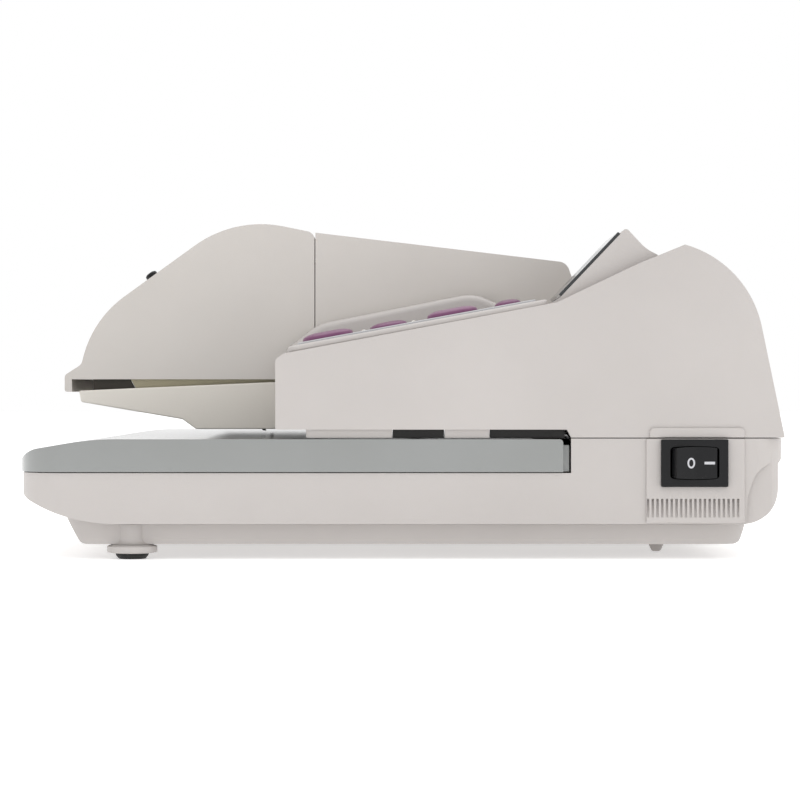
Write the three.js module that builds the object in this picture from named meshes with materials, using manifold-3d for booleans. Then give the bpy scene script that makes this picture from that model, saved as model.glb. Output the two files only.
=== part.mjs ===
// Compact banknote counter: base with a stacker tray, a note tower with a flip-up lid,
// and a control pod on the operator's right. Millimetres, +Z up, the operator stands at -Y.
import * as THREE from 'three';
import { mergeVertices } from 'three/addons/utils/BufferGeometryUtils.js';
import Module from 'manifold-3d';

const wasm = await Module();
wasm.setup();

// ---------------------------------------------------------------- driving dimensions
const GAP = 0.3;
const WALL = 2.5;
const WIDE = 130;
const SHELL_EDGE = 1.6;
const SIDE_X = 124.2;
const TOWER_RIGHT = 59;
const TOWER_MIDDLE = -33;
const ROLLER_OFFSET = 32;
const FRONT_Y = -119.6;
const FRONT_BOW = 2.6;
const REAR_Y = 119.8;
const SKIRT_BOTTOM = 4.7;
const BASE_BOTTOM = 11.2;
const TRAY_SEAM = 27.2;
const TRAY_TOP = 37.8;
const REAR_SEAM = 38;
const POD_BOTTOM = 40.8;
const TRAY_REAR = 50.5;
const REAR_DECK_FRONT = 53;
const POD_FRONT = -39.5;
const LID_SEAM = -29.2;
const LID_BOTTOM = 56.8;
const HINGE = { y: -32.6, z: 103.1 };
const PIN_RADIUS = 1;
const PIN_ENDS = [-109, 41];
const LUG = { places: [-104, 36], radius: 2.3, half: 3, foot: 4 };
const KNUCKLE = { places: [-97, 29], radius: 2.7, half: 3.4, top: 105.6 };
const POD_BEND = [48.6, 80.6];
const POD_CROWN = [74, 92.7];
const CREST = { y: 79.5, z: 66.1, radius: 33.8, from: 74.4, to: 11.7 };
const PANEL = { y: -35, z: 66.9, slope: THREE.MathUtils.degToRad(10.4), length: 82 };
const KEYPAD = { left: 75, right: 119, foot: 2, head: 79, corner: 3, base: -0.8, top: 0.7, play: 0.3 };
const KEY_CAP = { bottom: -4.2, top: 2.9, edge: 1.5, play: 0.4 };
const FEED = { y: 6, z: 48, radius: 8.8 };
const RETARD = { y: 3, z: 66.2, radius: 9 };
const STACKER = { y: -48, z: 46.4, radius: 7.6 };
const PICK = { y: -66, z: 48.9, radius: 6.7 };
const MOTOR = { y: 80, z: 60, radius: 16 };
const DRIVE_PULLEY_RADIUS = 7;
const LINK_PULLEY_RADIUS = 3.9;
const SHAFT_RADIUS = 2;
const ROLLER_WIDTH = { feed: 18, pick: 14, retard: 12 };
const DRIVE_PULLEY_WIDTH = 4;
const LINK_PULLEY_WIDTH = 3;
const BORE_CLEARANCE = 0.35;
const FRAME_LEFT = -111.5;
const FRAME_RIGHT = 47.5;
const FRAME_THICKNESS = 1.5;
const TIE_BAR = { y: 64, z: 36, radius: 2.2 };
const FRONT_FOOT = { x: 115.5, y: -85, bossRadius: 4.7 };
const REAR_FOOT = { x: 74, y: 84 };
const FENCE = { inset: 5, thickness: 2, front: -104, top: 58.8 };
const SWITCH = { y: 91.4, z: 30.4, width: 21, height: 15, body: { halfLength: 8.9, halfHeight: 5.9 } };
const PLATE_RAISE = 0.8;
const VENTS = { count: 20, pitch: 1.48, middle: 91, width: 0.76, depth: 1.1, low: 13.4, high: 19.2 };
const ROCKER_TILT = THREE.MathUtils.degToRad(10);
const ROCKER = { radius: 7.3, crown: 2.3, skirt: 3, halfHeight: 5 };
const INLET = { x: 70, z: 23.6, width: 22, height: 12.4, wallY: 118.2 };

// ---------------------------------------------------------------- materials
function plastic(color, roughness = 0.5) {
  return new THREE.MeshStandardMaterial({ color, roughness, metalness: 0 });
}

function metal(color, roughness = 0.35) {
  return new THREE.MeshStandardMaterial({ color, roughness, metalness: 1 });
}

const WHITE = plastic(0xd2cdc6, 0.42);
const TRAY_GREY = plastic(0x8d918e, 0.45);
const KEYPAD_GREY = plastic(0xb4b4b4, 0.5);
const KEY_PURPLE = plastic(0x8a4a80, 0.4);
const BLACK = plastic(0x24242a, 0.45);
const SMOKED = plastic(0x202a30, 0.12);
const RUBBER = plastic(0x1c1c1c, 0.85);
const BELT_RUBBER = plastic(0x161616, 0.8);
const PULLEY_WHITE = plastic(0xe4e2da, 0.5);
const BOARD_GREEN = plastic(0x1f6b3a, 0.6);
const INDICATOR = plastic(0xf2f2ea, 0.3);
const STEEL = metal(0xb9bcc0, 0.35);
const ZINC = metal(0xa7abad, 0.5);

// ---------------------------------------------------------------- solids and outlines
function solidOf(geometry) {
  const bare = geometry.clone();
  bare.deleteAttribute('normal');
  bare.deleteAttribute('uv');
  const merged = mergeVertices(bare, 1e-4);
  return new wasm.Manifold(new wasm.Mesh({
    numProp: 3,
    vertProperties: Float32Array.from(merged.attributes.position.array),
    triVerts: Uint32Array.from(merged.index.array),
  }));
}

function geometryOf(solid) {
  const mesh = solid.getMesh();
  const geometry = new THREE.BufferGeometry();
  geometry.setAttribute('position', new THREE.BufferAttribute(new Float32Array(mesh.vertProperties), 3));
  geometry.setIndex(new THREE.BufferAttribute(new Uint32Array(mesh.triVerts), 1));
  geometry.computeVertexNormals();
  return geometry;
}

function cut(solid, ...tools) {
  return tools.reduce((left, tool) => left.subtract(tool), solid);
}

function join(first, ...others) {
  return others.reduce((sum, other) => sum.add(other), first);
}

// A closed outline through corners [a, b, radius]; a corner with a radius becomes an arc.
// Two arcs that meet on one edge share its length.
function rounded(corners, arcSteps = 5) {
  const count = corners.length;
  const at = (index) => new THREE.Vector2(...corners[(index + count) % count]);
  const spokes = (index) => [at(index - 1).sub(at(index)), at(index + 1).sub(at(index))];
  const wanted = corners.map(([, , radius = 0], index) => {
    const [before, after] = spokes(index);
    const half = Math.acos(before.dot(after) / before.length() / after.length()) / 2;
    return radius / Math.tan(half);
  });
  const share = (index, next, length) => {
    const sum = wanted[index] + wanted[(next + count) % count];
    return wanted[index] * Math.min(1, (length * 0.98) / sum);
  };
  const points = [];
  corners.forEach((corner, index) => {
    if (wanted[index] <= 0) {
      points.push(at(index));
      return;
    }
    const [before, after] = spokes(index);
    const reachBefore = share(index, index - 1, before.length());
    const reach = Math.min(reachBefore, share(index, index + 1, after.length()));
    before.normalize();
    after.normalize();
    const half = Math.acos(before.dot(after)) / 2;
    const middle = before.clone().add(after).normalize();
    const centre = at(index).addScaledVector(middle, reach / Math.cos(half));
    const start = at(index).addScaledVector(before, reach).sub(centre);
    const end = at(index).addScaledVector(after, reach).sub(centre);
    const turn = Math.atan2(start.cross(end), start.dot(end));
    for (let step = 0; step <= arcSteps; step += 1) {
      const spoke = start.clone().rotateAround(new THREE.Vector2(), (turn * step) / arcSteps);
      points.push(spoke.add(centre));
    }
  });
  return new THREE.Shape(points);
}

// The same closed run of corners, moved inwards by a distance.
function inset(corners, distance) {
  const count = corners.length;
  const at = (index) => new THREE.Vector2(...corners[(index + count) % count]);
  let area = 0;
  for (let index = 0; index < count; index += 1) {
    area += at(index).cross(at(index + 1));
  }
  const side = Math.sign(area);
  return corners.map(([, , radius = 0], index) => {
    const corner = at(index);
    const along = corner.clone().sub(at(index - 1)).normalize();
    const onward = at(index + 1).sub(corner).normalize();
    const normal = new THREE.Vector2(-along.y, along.x).multiplyScalar(side);
    const next = new THREE.Vector2(-onward.y, onward.x).multiplyScalar(side);
    const shift = normal.clone().add(next).multiplyScalar(distance / (1 + normal.dot(next)));
    const convex = along.cross(onward) * side > 0;
    const moved = Math.max(0, radius + (convex ? -distance : distance));
    return [corner.x + shift.x, corner.y + shift.y, radius > 0 ? moved : 0];
  });
}

function extruded(shape, length, edge, curveSegments = 6) {
  const bevel = edge > 0
    ? { bevelEnabled: true, bevelThickness: edge, bevelSize: edge, bevelOffset: -edge, bevelSegments: 3 }
    : { bevelEnabled: false };
  const geometry = new THREE.ExtrudeGeometry(shape, { depth: length - 2 * edge, curveSegments, ...bevel });
  return geometry.translate(0, 0, edge);
}

// A prism along X whose outline is drawn in the Y-Z plane.
function prismX(shape, x0, x1, edge = 0) {
  const geometry = extruded(shape, x1 - x0, edge);
  const turn = new THREE.Matrix4().makeBasis(
    new THREE.Vector3(0, 1, 0), new THREE.Vector3(0, 0, 1), new THREE.Vector3(1, 0, 0));
  return solidOf(geometry.applyMatrix4(turn).translate(x0, 0, 0));
}

// A prism along Y whose outline is drawn in the X-Z plane.
function prismY(shape, y0, y1, edge = 0) {
  const geometry = extruded(shape, y1 - y0, edge);
  return solidOf(geometry.rotateX(Math.PI / 2).translate(0, y1, 0));
}

// A prism along Z whose outline is drawn in the X-Y plane.
function prismZ(shape, z0, z1, edge = 0) {
  return solidOf(extruded(shape, z1 - z0, edge).translate(0, 0, z0));
}

function block(x0, x1, y0, y1, z0, z1) {
  const geometry = new THREE.BoxGeometry(x1 - x0, y1 - y0, z1 - z0);
  return solidOf(geometry.translate((x0 + x1) / 2, (y0 + y1) / 2, (z0 + z1) / 2));
}

function rodX(radius, x0, x1, y = 0, z = 0, sides = 24) {
  const geometry = new THREE.CylinderGeometry(radius, radius, x1 - x0, sides);
  return solidOf(geometry.rotateZ(-Math.PI / 2).translate((x0 + x1) / 2, y, z));
}

// A turned solid on the Z axis from a profile of [radius, height] pairs.
function turned(profile, sides = 28) {
  const points = profile.map(([radius, height]) => new THREE.Vector2(radius, height));
  return solidOf(new THREE.LatheGeometry(points, sides).rotateX(Math.PI / 2));
}

function ringX(inner, outer, x0, x1, sides = 24) {
  return cut(rodX(outer, x0, x1, 0, 0, sides), rodX(inner, x0 - 1, x1 + 1, 0, 0, sides));
}

function rectangle(x0, x1, y0, y1, radius = 0) {
  return [[x0, y0, radius], [x1, y0, radius], [x1, y1, radius], [x0, y1, radius]];
}

// ---------------------------------------------------------------- assembly
const machine = new THREE.Group();
machine.name = 'banknote_counter';

function add(name, solid, material, position = [0, 0, 0], parent = machine) {
  const mesh = new THREE.Mesh(geometryOf(solid), material);
  mesh.name = name;
  mesh.position.set(...position);
  parent.add(mesh);
  return mesh;
}

// Plan of the base: round front corners and a slightly bowed front edge.
function basePlan(shrink = 0) {
  const half = SIDE_X - shrink;
  const front = FRONT_Y + shrink;
  const rear = REAR_Y - shrink;
  const bow = 5;
  const frontEdge = [];
  for (let step = 1; step < bow; step += 1) {
    const across = step / bow;
    frontEdge.push([half * (2 * across - 1), front - FRONT_BOW * 4 * across * (1 - across)]);
  }
  return [[-half, rear, 9 - shrink], [-half, front, 16 - shrink], ...frontEdge,
    [half, front, 16 - shrink], [half, rear, 9 - shrink]];
}

// ---------------------------------------------------------------- base
const BASE_SIDE = [
  [-123.4, TRAY_SEAM], [-120.2, 19.8, 10], [-101.5, BASE_BOTTOM, 60], [118.2, BASE_BOTTOM, 11.5],
  [118.2, 30.2], [REAR_Y + 0.1, 31.9], [REAR_Y + 0.1, REAR_SEAM],
  [REAR_DECK_FRONT, REAR_SEAM], [REAR_DECK_FRONT, TRAY_SEAM],
];
const SIDE_PLATE = { front: 76.4, rear: 107.2, bottom: 11.6, tabFront: 77.5, tabTop: 41.4 };

function baseShell() {
  const outer = prismX(rounded(BASE_SIDE), -WIDE, WIDE).intersect(prismZ(rounded(basePlan()), 0, 60));
  const floorTop = BASE_BOTTOM + WALL;
  const room = [[-104, floorTop + 8, 5], [-96, floorTop + 1, 12], [115.6, floorTop, 9],
    [115.6, 50], [-112, 50], [-114, TRAY_SEAM - 3]];
  const cavity = prismX(rounded(room), -WIDE, WIDE).intersect(prismZ(rounded(basePlan(WALL)), 0, 60));
  const plateFace = rectangle(SIDE_PLATE.front, SIDE_PLATE.rear, SIDE_PLATE.bottom, REAR_SEAM);
  const plate = prismX(rounded(plateFace), SIDE_X - 1, SIDE_X + PLATE_RAISE);
  const scoop = [[120, 9], [120, 31.5, 6], [112, 29, 6], [108.2, 20, 5], [107.4, 9]];
  const scoopCut = prismX(rounded(scoop), SIDE_X - 1.6, SIDE_X + 2);
  const { body } = SWITCH;
  const holeLength = body.halfLength + 0.4;
  const holeHeight = body.halfHeight + 0.4;
  const switchHole = block(SIDE_X - 6, SIDE_X + 3, SWITCH.y - holeLength, SWITCH.y + holeLength,
    SWITCH.z - holeHeight, SWITCH.z + holeHeight);
  const inletHole = block(INLET.x - 9.3, INLET.x + 9.3, 104, 125, INLET.z - 5.2, INLET.z + 5.2);
  const passage = block(-80, 80, REAR_DECK_FRONT - 3, REAR_DECK_FRONT + WALL + 1, 20, TRAY_SEAM - 1);
  return cut(join(outer, plate), cavity, scoopCut, switchHole, inletHole, passage, ...ventGrooves());
}

// Upright grooves below the switch.
function ventGrooves() {
  const { count, pitch, middle, width, depth, low, high } = VENTS;
  return Array.from({ length: count }, (_, index) => {
    const y = middle + (index - (count - 1) / 2) * pitch;
    return block(SIDE_X - depth, SIDE_X + 2, y - width / 2, y + width / 2, low, high);
  });
}

function bottomPan() {
  const top = BASE_BOTTOM - GAP;
  const side = [[-107, 13.75], [-101, SKIRT_BOTTOM, 3], [106.5, SKIRT_BOTTOM, 3], [109, top],
    [-89, top], [-95, 11.25], [-100, 11.95], [-103.5, 12.75]];
  const half = SIDE_X - 5.5;
  const plan = prismZ(rounded(rectangle(-half, half, -107, 110, 14)), 0, 20);
  const outer = prismX(rounded(side), -half, half).intersect(plan);
  const bosses = [-1, 1].map((sign) => turned([[0, SKIRT_BOTTOM], [FRONT_FOOT.bossRadius, SKIRT_BOTTOM],
    [FRONT_FOOT.bossRadius, top], [0, top]]).translate([FRONT_FOOT.x * sign, FRONT_FOOT.y, 0]));
  const room = prismZ(rounded(rectangle(-half + WALL, half - WALL, -98, 103.5, 12)),
    SKIRT_BOTTOM + WALL, top + 1);
  return join(cut(outer, room), ...bosses);
}

// Front foot: a broad flange under the boss; it carries a rubber pad below.
function frontFoot() {
  return turned([[0, 1.9], [5.7, 1.9], [7, 2.7], [8, 3.9], [8, 4.4], [0, 4.4]]);
}

function footPad() {
  return turned([[0, 0], [4.3, 0], [5.2, 1], [5.2, 1.6], [0, 1.6]]);
}

function rearFoot() {
  return turned([[0, 0], [1.4, 0], [2, 0.7], [3.3, 4.4], [0, 4.4]], 20);
}

function buildBase() {
  add('base_shell', baseShell(), WHITE);
  add('bottom_pan', bottomPan(), WHITE);
  [['left', -1], ['right', 1]].forEach(([side, sign]) => {
    const place = [FRONT_FOOT.x * sign, FRONT_FOOT.y, 0];
    add(`front_foot_${side}`, frontFoot(), WHITE, place);
    add(`front_foot_pad_${side}`, footPad(), RUBBER, place);
    add(`rear_foot_${side}`, rearFoot(), WHITE, [REAR_FOOT.x * sign, REAR_FOOT.y, 0]);
  });
}

// ---------------------------------------------------------------- stacker tray
const TRAY_SIDE = [
  [-WIDE, TRAY_SEAM + GAP], [TRAY_REAR, TRAY_SEAM + GAP], [TRAY_REAR, TRAY_TOP, 1.2],
  [-97, TRAY_TOP, 90], [-117, 34.4, 10], [-121.6, 30.6, 5], [-124, TRAY_SEAM + 0.5],
];
const TRAY_PROUD = 0.6;
const TONGUE = { inset: 1.4, length: 2.1, top: 36 };

// The tray's rear end steps in to a tongue that reaches the rear deck.
function stackerTray() {
  const outer = prismX(rounded(TRAY_SIDE, 9), -SIDE_X - TRAY_PROUD, SIDE_X + TRAY_PROUD);
  const plan = prismZ(rounded(basePlan(-TRAY_PROUD)), 20, 60);
  const tongueSide = SIDE_X - TONGUE.inset;
  const tongueEnd = TRAY_REAR + TONGUE.length;
  const tongue = block(-tongueSide, tongueSide, TRAY_REAR - 1, tongueEnd, TRAY_SEAM + GAP, TONGUE.top);
  const room = [[-110, 20], [TRAY_REAR - WALL, 20], [TRAY_REAR - WALL, TRAY_TOP - WALL],
    [-92, TRAY_TOP - WALL, 26], [-110, 32.5, 3]];
  const hollow = prismX(rounded(room), -SIDE_X + 3.2, SIDE_X - 3.2);
  return cut(join(outer.intersect(plan), tongue), hollow);
}

// ---------------------------------------------------------------- control pod
const POD_REAR_BOTTOM = REAR_SEAM + GAP;

// Corners down the round back of the pod, from its peak to its rear wall.
function crest() {
  const steps = 6;
  const corners = [];
  for (let step = 0; step <= steps; step += 1) {
    const turn = THREE.MathUtils.degToRad(CREST.from + ((CREST.to - CREST.from) * step) / steps);
    corners.push([CREST.y + CREST.radius * Math.cos(turn), CREST.z + CREST.radius * Math.sin(turn)]);
  }
  return corners;
}

const POD_BACK = [...crest().reverse(), [...POD_CROWN, 40], [...POD_BEND, 6]];
const POD_SIDE = [
  [POD_FRONT, POD_BOTTOM], [REAR_DECK_FRONT - 1.3, POD_BOTTOM], [REAR_DECK_FRONT, POD_REAR_BOTTOM],
  [REAR_Y, POD_REAR_BOTTOM], ...POD_BACK, [-36.8, 64.65, 2.4], [POD_FRONT, 62.8],
];

function podSkinInside() {
  const run = [[POD_FRONT, 20], [REAR_Y + 4, 20], ...POD_BACK, [-36.8, 64.65, 3], [POD_FRONT, 62.8]];
  return rounded(inset(run, WALL));
}

// Smooth hump between the key panel and the tower.
const RIDGE_WIDTH = 8;

function ridge() {
  const hump = [[-38.4, 60], [38, 72], [38, 79, 4], [30.5, 82.6, 6], [24, 85.4, 14], [-27.5, 75.2, 14],
    [-38.4, 66.6, 2]];
  return prismX(rounded(hump), TOWER_RIGHT + GAP, TOWER_RIGHT + RIDGE_WIDTH, SHELL_EDGE);
}

// Low ribs under the side wall, close above the tray.
const RIB_RUNS = [[-29.9, -3], [13.5, 27.5]];

function podHousing() {
  const left = TOWER_RIGHT + GAP;
  const shell = prismX(rounded(POD_SIDE, 7), left, SIDE_X, SHELL_EDGE);
  const cavity = prismX(podSkinInside(), left + WALL, SIDE_X - WALL);
  const tabFace = [[SIDE_PLATE.tabFront, POD_REAR_BOTTOM], [SIDE_PLATE.rear, POD_REAR_BOTTOM],
    [SIDE_PLATE.rear, SIDE_PLATE.tabTop, 1.2], [SIDE_PLATE.tabFront, SIDE_PLATE.tabTop, 1.2]];
  const tab = prismX(rounded(tabFace), SIDE_X - 1, SIDE_X + PLATE_RAISE);
  const ribLow = TRAY_TOP + GAP;
  const ribs = RIB_RUNS.map(([y0, y1]) => block(SIDE_X - WALL + 0.2, SIDE_X - 1, y0, y1, ribLow, 42));
  const keyWindow = panelSolid(block(76, 117, 2.5, 78, -9, 6));
  const displayWindow = block(72, 115, 54, 70, 70, 100);
  return join(cut(join(shell, ridge(), tab), cavity, keyWindow, displayWindow), ...ribs);
}

// Moves a solid drawn on the flat key panel onto its slope.
function panelSolid(solid) {
  const degrees = THREE.MathUtils.radToDeg(PANEL.slope);
  return solid.rotate([degrees, 0, 0]).translate([0, PANEL.y, PANEL.z]);
}

const KEYS = [
  { name: 'key_1', x: 108, start: 3.8, length: 16.4, width: 11 },
  { name: 'key_2', x: 86, start: 25.2, length: 12.7, width: 10 },
  { name: 'key_3', x: 108, start: 44, length: 16.4, width: 11 },
  { name: 'key_4', x: 86, start: 66.5, length: 9, width: 9 },
];
const INDICATORS = [{ x: 108, y: 23.5 }, { x: 86, y: 20.2 }, { x: 108, y: 39.6 }];

function keyOutline(key, grow) {
  const half = key.width / 2 + grow;
  const start = key.start - grow;
  const end = key.start + key.length + grow;
  return rounded(rectangle(key.x - half, key.x + half, start, end, half - 0.4), 6);
}

function keyHoles() {
  return KEYS.map((key) => prismZ(keyOutline(key, KEY_CAP.play), -6, 4));
}

function indicatorHoles() {
  return INDICATORS.map(({ x, y }) => solidOf(new THREE.CylinderGeometry(1.1, 1.1, 9, 12)
    .rotateX(Math.PI / 2).translate(x, y, 0)));
}

function buildPanel() {
  const panel = new THREE.Group();
  panel.position.set(0, PANEL.y, PANEL.z);
  panel.rotation.x = PANEL.slope;
  machine.add(panel);
  const { left, right, foot, head, corner, play } = KEYPAD;
  const rim = rectangle(TOWER_RIGHT + 9, SIDE_X - 1.2, -0.8, PANEL.length, corner);
  const frame = prismZ(rounded(rim), -1.6, 0, 0.5);
  const pocket = prismZ(rounded(rectangle(left, right, foot, head, corner)), KEYPAD.base, 1);
  add('panel_frame', cut(frame, pocket, ...keyHoles(), ...indicatorHoles()), WHITE, [0, 0, 0], panel);
  const plan = rectangle(left + play, right - play, foot + play, head - play, corner - 0.2);
  const sheet = prismZ(rounded(plan), KEYPAD.base + play, KEYPAD.top);
  add('keypad_sheet', cut(sheet, ...keyHoles(), ...indicatorHoles()), KEYPAD_GREY, [0, 0, 0], panel);
  KEYS.forEach((key) => {
    const cap = prismZ(keyOutline(key, 0), KEY_CAP.bottom, KEY_CAP.top, KEY_CAP.edge);
    add(key.name, cap, KEY_PURPLE, [0, 0, 0], panel);
  });
  INDICATORS.forEach(({ x, y }, index) => {
    const lens = turned([[0, KEY_CAP.bottom], [0.8, KEY_CAP.bottom], [0.8, 0.8], [0.5, 1.2], [0, 1.3]], 12);
    add(`indicator_${index + 1}`, lens, INDICATOR, [x, y, 0], panel);
  });
  add('key_board', block(80, 114, 6, 74, -7.4, -5.8), BOARD_GREEN, [0, 0, 0], panel);
}

// ---------------------------------------------------------------- display
const WINDOW_FOOT = [49.2, 83.1];
const WINDOW_HEAD = [68.2, 103.1];
const WINDOW_PROUD = 1;
const HOOD_LEFT = 66;
const HOOD_RIGHT = 120.4;
const HOOD_RIM = 0.9;
const WINDOW_THICKNESS = 1.8;

// A point of the display's slope: how far up it, and how deep behind the window's face.
function onSlope(up, depth) {
  const foot = new THREE.Vector2(...WINDOW_FOOT);
  const along = new THREE.Vector2(...WINDOW_HEAD).sub(foot).normalize();
  const inward = new THREE.Vector2(along.y, -along.x);
  return foot.addScaledVector(along, up).addScaledVector(inward, depth).toArray();
}

const SLOPE_LENGTH = Math.hypot(WINDOW_HEAD[0] - WINDOW_FOOT[0], WINDOW_HEAD[1] - WINDOW_FOOT[1]);

// A flat piece lying along the display's slope.
function slopeBand(front, back, trim) {
  const end = SLOPE_LENGTH - trim;
  return rounded([onSlope(trim, front), onSlope(trim, back), onSlope(end, back), onSlope(end, front)]);
}

function displayHood() {
  const rise = (POD_CROWN[1] - POD_BEND[1]) / (POD_CROWN[0] - POD_BEND[0]);
  const podTop = (y) => POD_BEND[1] + rise * (y - POD_BEND[0]) + GAP;
  const side = [[49.2, podTop(49.2)], [74, podTop(74)], [80.6, podTop(74) + 2.7], [76.6, 97.6, 12],
    [71, 103.6, 0.8], [70, 103.7, 0.5], onSlope(SLOPE_LENGTH + 0.4, WINDOW_PROUD),
    onSlope(-0.8, WINDOW_PROUD)];
  const hood = prismX(rounded(side), HOOD_LEFT, HOOD_RIGHT, 0);
  const seatBand = slopeBand(-1, WINDOW_THICKNESS + GAP, -0.1);
  const seat = prismX(seatBand, HOOD_LEFT + HOOD_RIM, HOOD_RIGHT - HOOD_RIM);
  const pocket = prismX(slopeBand(1, 7, 5), HOOD_LEFT + 6, HOOD_RIGHT - 6);
  const wireway = block(80, 106, 60, 65, 80, 92);
  return cut(hood, seat, pocket, wireway);
}

function buildDisplay() {
  add('display_hood', displayHood(), WHITE);
  const trim = HOOD_RIM + GAP;
  const window = prismX(slopeBand(0, WINDOW_THICKNESS, 0.2), HOOD_LEFT + trim, HOOD_RIGHT - trim);
  add('display_window', window, SMOKED);
  add('display_board', prismX(slopeBand(3, 5.5, 6), HOOD_LEFT + 8, HOOD_RIGHT - 8), BOARD_GREEN);
}

// ---------------------------------------------------------------- note tower
const TOWER_LEFT = -SIDE_X;
const TOWER_SIDE = [
  [LID_SEAM + GAP, POD_BOTTOM], [REAR_DECK_FRONT - 1.3, POD_BOTTOM], [REAR_DECK_FRONT, POD_REAR_BOTTOM],
  [REAR_Y, POD_REAR_BOTTOM], [110.2, 83, 16], [58.4, 87.5, 5], [55.4, 96, 4], [LID_SEAM + GAP, 106],
];

function towerHousing() {
  const right = TOWER_RIGHT - GAP;
  const shell = prismX(rounded(TOWER_SIDE), TOWER_LEFT, right, SHELL_EDGE);
  const run = [[LID_SEAM + GAP, 20], [REAR_Y + 4, 20], [110.2, 83, 16], [58.4, 87.5, 5], [55.4, 96, 4],
    [LID_SEAM + GAP, 106, 0]];
  const cavity = prismX(rounded(inset(run, WALL)), TOWER_LEFT + WALL, right - WALL);
  const mouth = block(TOWER_LEFT + 4, right - 2.7, LID_SEAM - 2, LID_SEAM + 5, 30, 60);
  const lugs = LUG.places.map(hingeLug);
  return join(cut(shell, cavity, mouth), ...lugs);
}

// Lug on the tower's front wall that carries the lid's hinge pin.
function hingeLug(x) {
  const { radius, half, foot } = LUG;
  const eye = rodX(radius, x - half, x + half, HINGE.y, HINGE.z, 20);
  const arm = block(x - half, x + half, HINGE.y, LID_SEAM + 1, HINGE.z - foot, HINGE.z + 0.6);
  return cut(join(eye, arm), rodX(PIN_RADIUS + GAP, x - half - 1, x + half + 1, HINGE.y, HINGE.z, 16));
}

// ---------------------------------------------------------------- lid
const LID_FACE = [[-103.6, 76.9, 36], [-55.9, 111.4, 38]];

function frontLid() {
  const right = TOWER_RIGHT - GAP;
  const side = [[-113, 52.6], [-113, 58.2, 1.5], [-107.4, 61.8, 3], ...LID_FACE, [LID_SEAM, 106, 2.8],
    [LID_SEAM, LID_BOTTOM], [-110.6, LID_BOTTOM], [-110.6, 52.6]];
  const shell = prismX(rounded(side, 7), TOWER_LEFT, right, 1);
  const run = [[-107.4, 30], [-107.4, 61.8, 3], ...LID_FACE, [-10, 102.2], [-10, 30]];
  const cavity = prismX(rounded(inset(run, WALL), 7), TOWER_LEFT + WALL, right - WALL);
  const { radius, half, top } = KNUCKLE;
  const knuckles = KNUCKLE.places.map((x) => join(rodX(radius, x - half, x + half, HINGE.y, HINGE.z, 20),
    block(x - half, x + half, HINGE.y - 3, HINGE.y - 0.5, HINGE.z, top)));
  const reach = LUG.half + 0.5;
  const notches = LUG.places.map((x) => block(x - reach, x + reach, HINGE.y - 2.8, LID_SEAM + 1, 97, 108));
  const pinHole = rodX(PIN_RADIUS + GAP, PIN_ENDS[0] - 1, PIN_ENDS[1] + 4, HINGE.y, HINGE.z, 16);
  return cut(join(cut(shell, cavity), ...knuckles), pinHole, ...notches);
}

const STUD_PLACE = [47, -84.3, 91.3];

function buildLid() {
  add('front_lid', frontLid(), WHITE);
  add('lid_hinge_pin', rodX(PIN_RADIUS, ...PIN_ENDS, 0, 0, 14), STEEL, [0, HINGE.y, HINGE.z]);
  const stud = turned([[0, 0], [2.1, 0], [2.1, 1.2], [1.4, 2], [0, 2]], 18);
  const nub = add('lid_stop_stud', stud, BLACK, STUD_PLACE);
  nub.rotation.x = Math.atan2(LID_FACE[1][1] - LID_FACE[0][1], LID_FACE[1][0] - LID_FACE[0][0]);
}

// ---------------------------------------------------------------- hopper floor
const JAW_WALL = 1.6;
const PICK_SLOT = { halfWidth: 8.5, halfLength: 6.5 };
const STACKER_SLOT = { halfWidth: 4.2, halfLength: 8.5 };
const JAW_SIDE = [
  [-108.2, 53, 0.6], [-107.6, 49.2, 1], [-73.5, 43.4, 2], [-69, 40.1, 2], [LID_SEAM, 40.1], [LID_SEAM, 56.5],
];

function hopperFloor() {
  const right = TOWER_RIGHT - GAP;
  const shell = prismX(rounded(JAW_SIDE), TOWER_LEFT, right, 0);
  const run = [[-108.2, 53, 0], [-107.6, 49.2, 0], [-73.5, 43.4, 2], [-69, 40.1, 2], [-20, 40.1],
    [-20, 56.9]];
  const cavity = prismX(rounded(inset(run, JAW_WALL)), TOWER_LEFT + WALL, right - WALL);
  const slots = rollerPlaces().flatMap((x) => [
    slotBlock(x, PICK.y, PICK_SLOT, 50, 60),
    slotBlock(x, STACKER.y, STACKER_SLOT, 35, 45)]);
  return join(cut(shell, cavity, ...slots), ...noteFences(right));
}

function slotBlock(x, y, { halfWidth, halfLength }, low, high) {
  return block(x - halfWidth, x + halfWidth, y - halfLength, y + halfLength, low, high);
}

// Low guides on the hopper floor, one inside each side of the lid.
function noteFences(right) {
  const rear = LID_SEAM - 2;
  const face = [[FENCE.front, 52.2], [rear, 55.5], [rear, FENCE.top, 1], [FENCE.front, FENCE.top, 2]];
  const places = [TOWER_LEFT + FENCE.inset, right - FENCE.inset - FENCE.thickness];
  return places.map((x) => prismX(rounded(face), x, x + FENCE.thickness));
}

function rollerPlaces() {
  return [TOWER_MIDDLE - ROLLER_OFFSET, TOWER_MIDDLE + ROLLER_OFFSET];
}

// ---------------------------------------------------------------- mechanism
const FRAME_SIDE = [
  [-71.5, 45.4, 1], [-67, 42.2], [52, 42.2], [58, 36], [58, 14.2], [102, 14.2], [102, 66, 8], [88, 80, 8],
  [50, 84, 6], [-26, 84, 6], [-26, 53.6], [-71.5, 51.6, 2],
];

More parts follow.
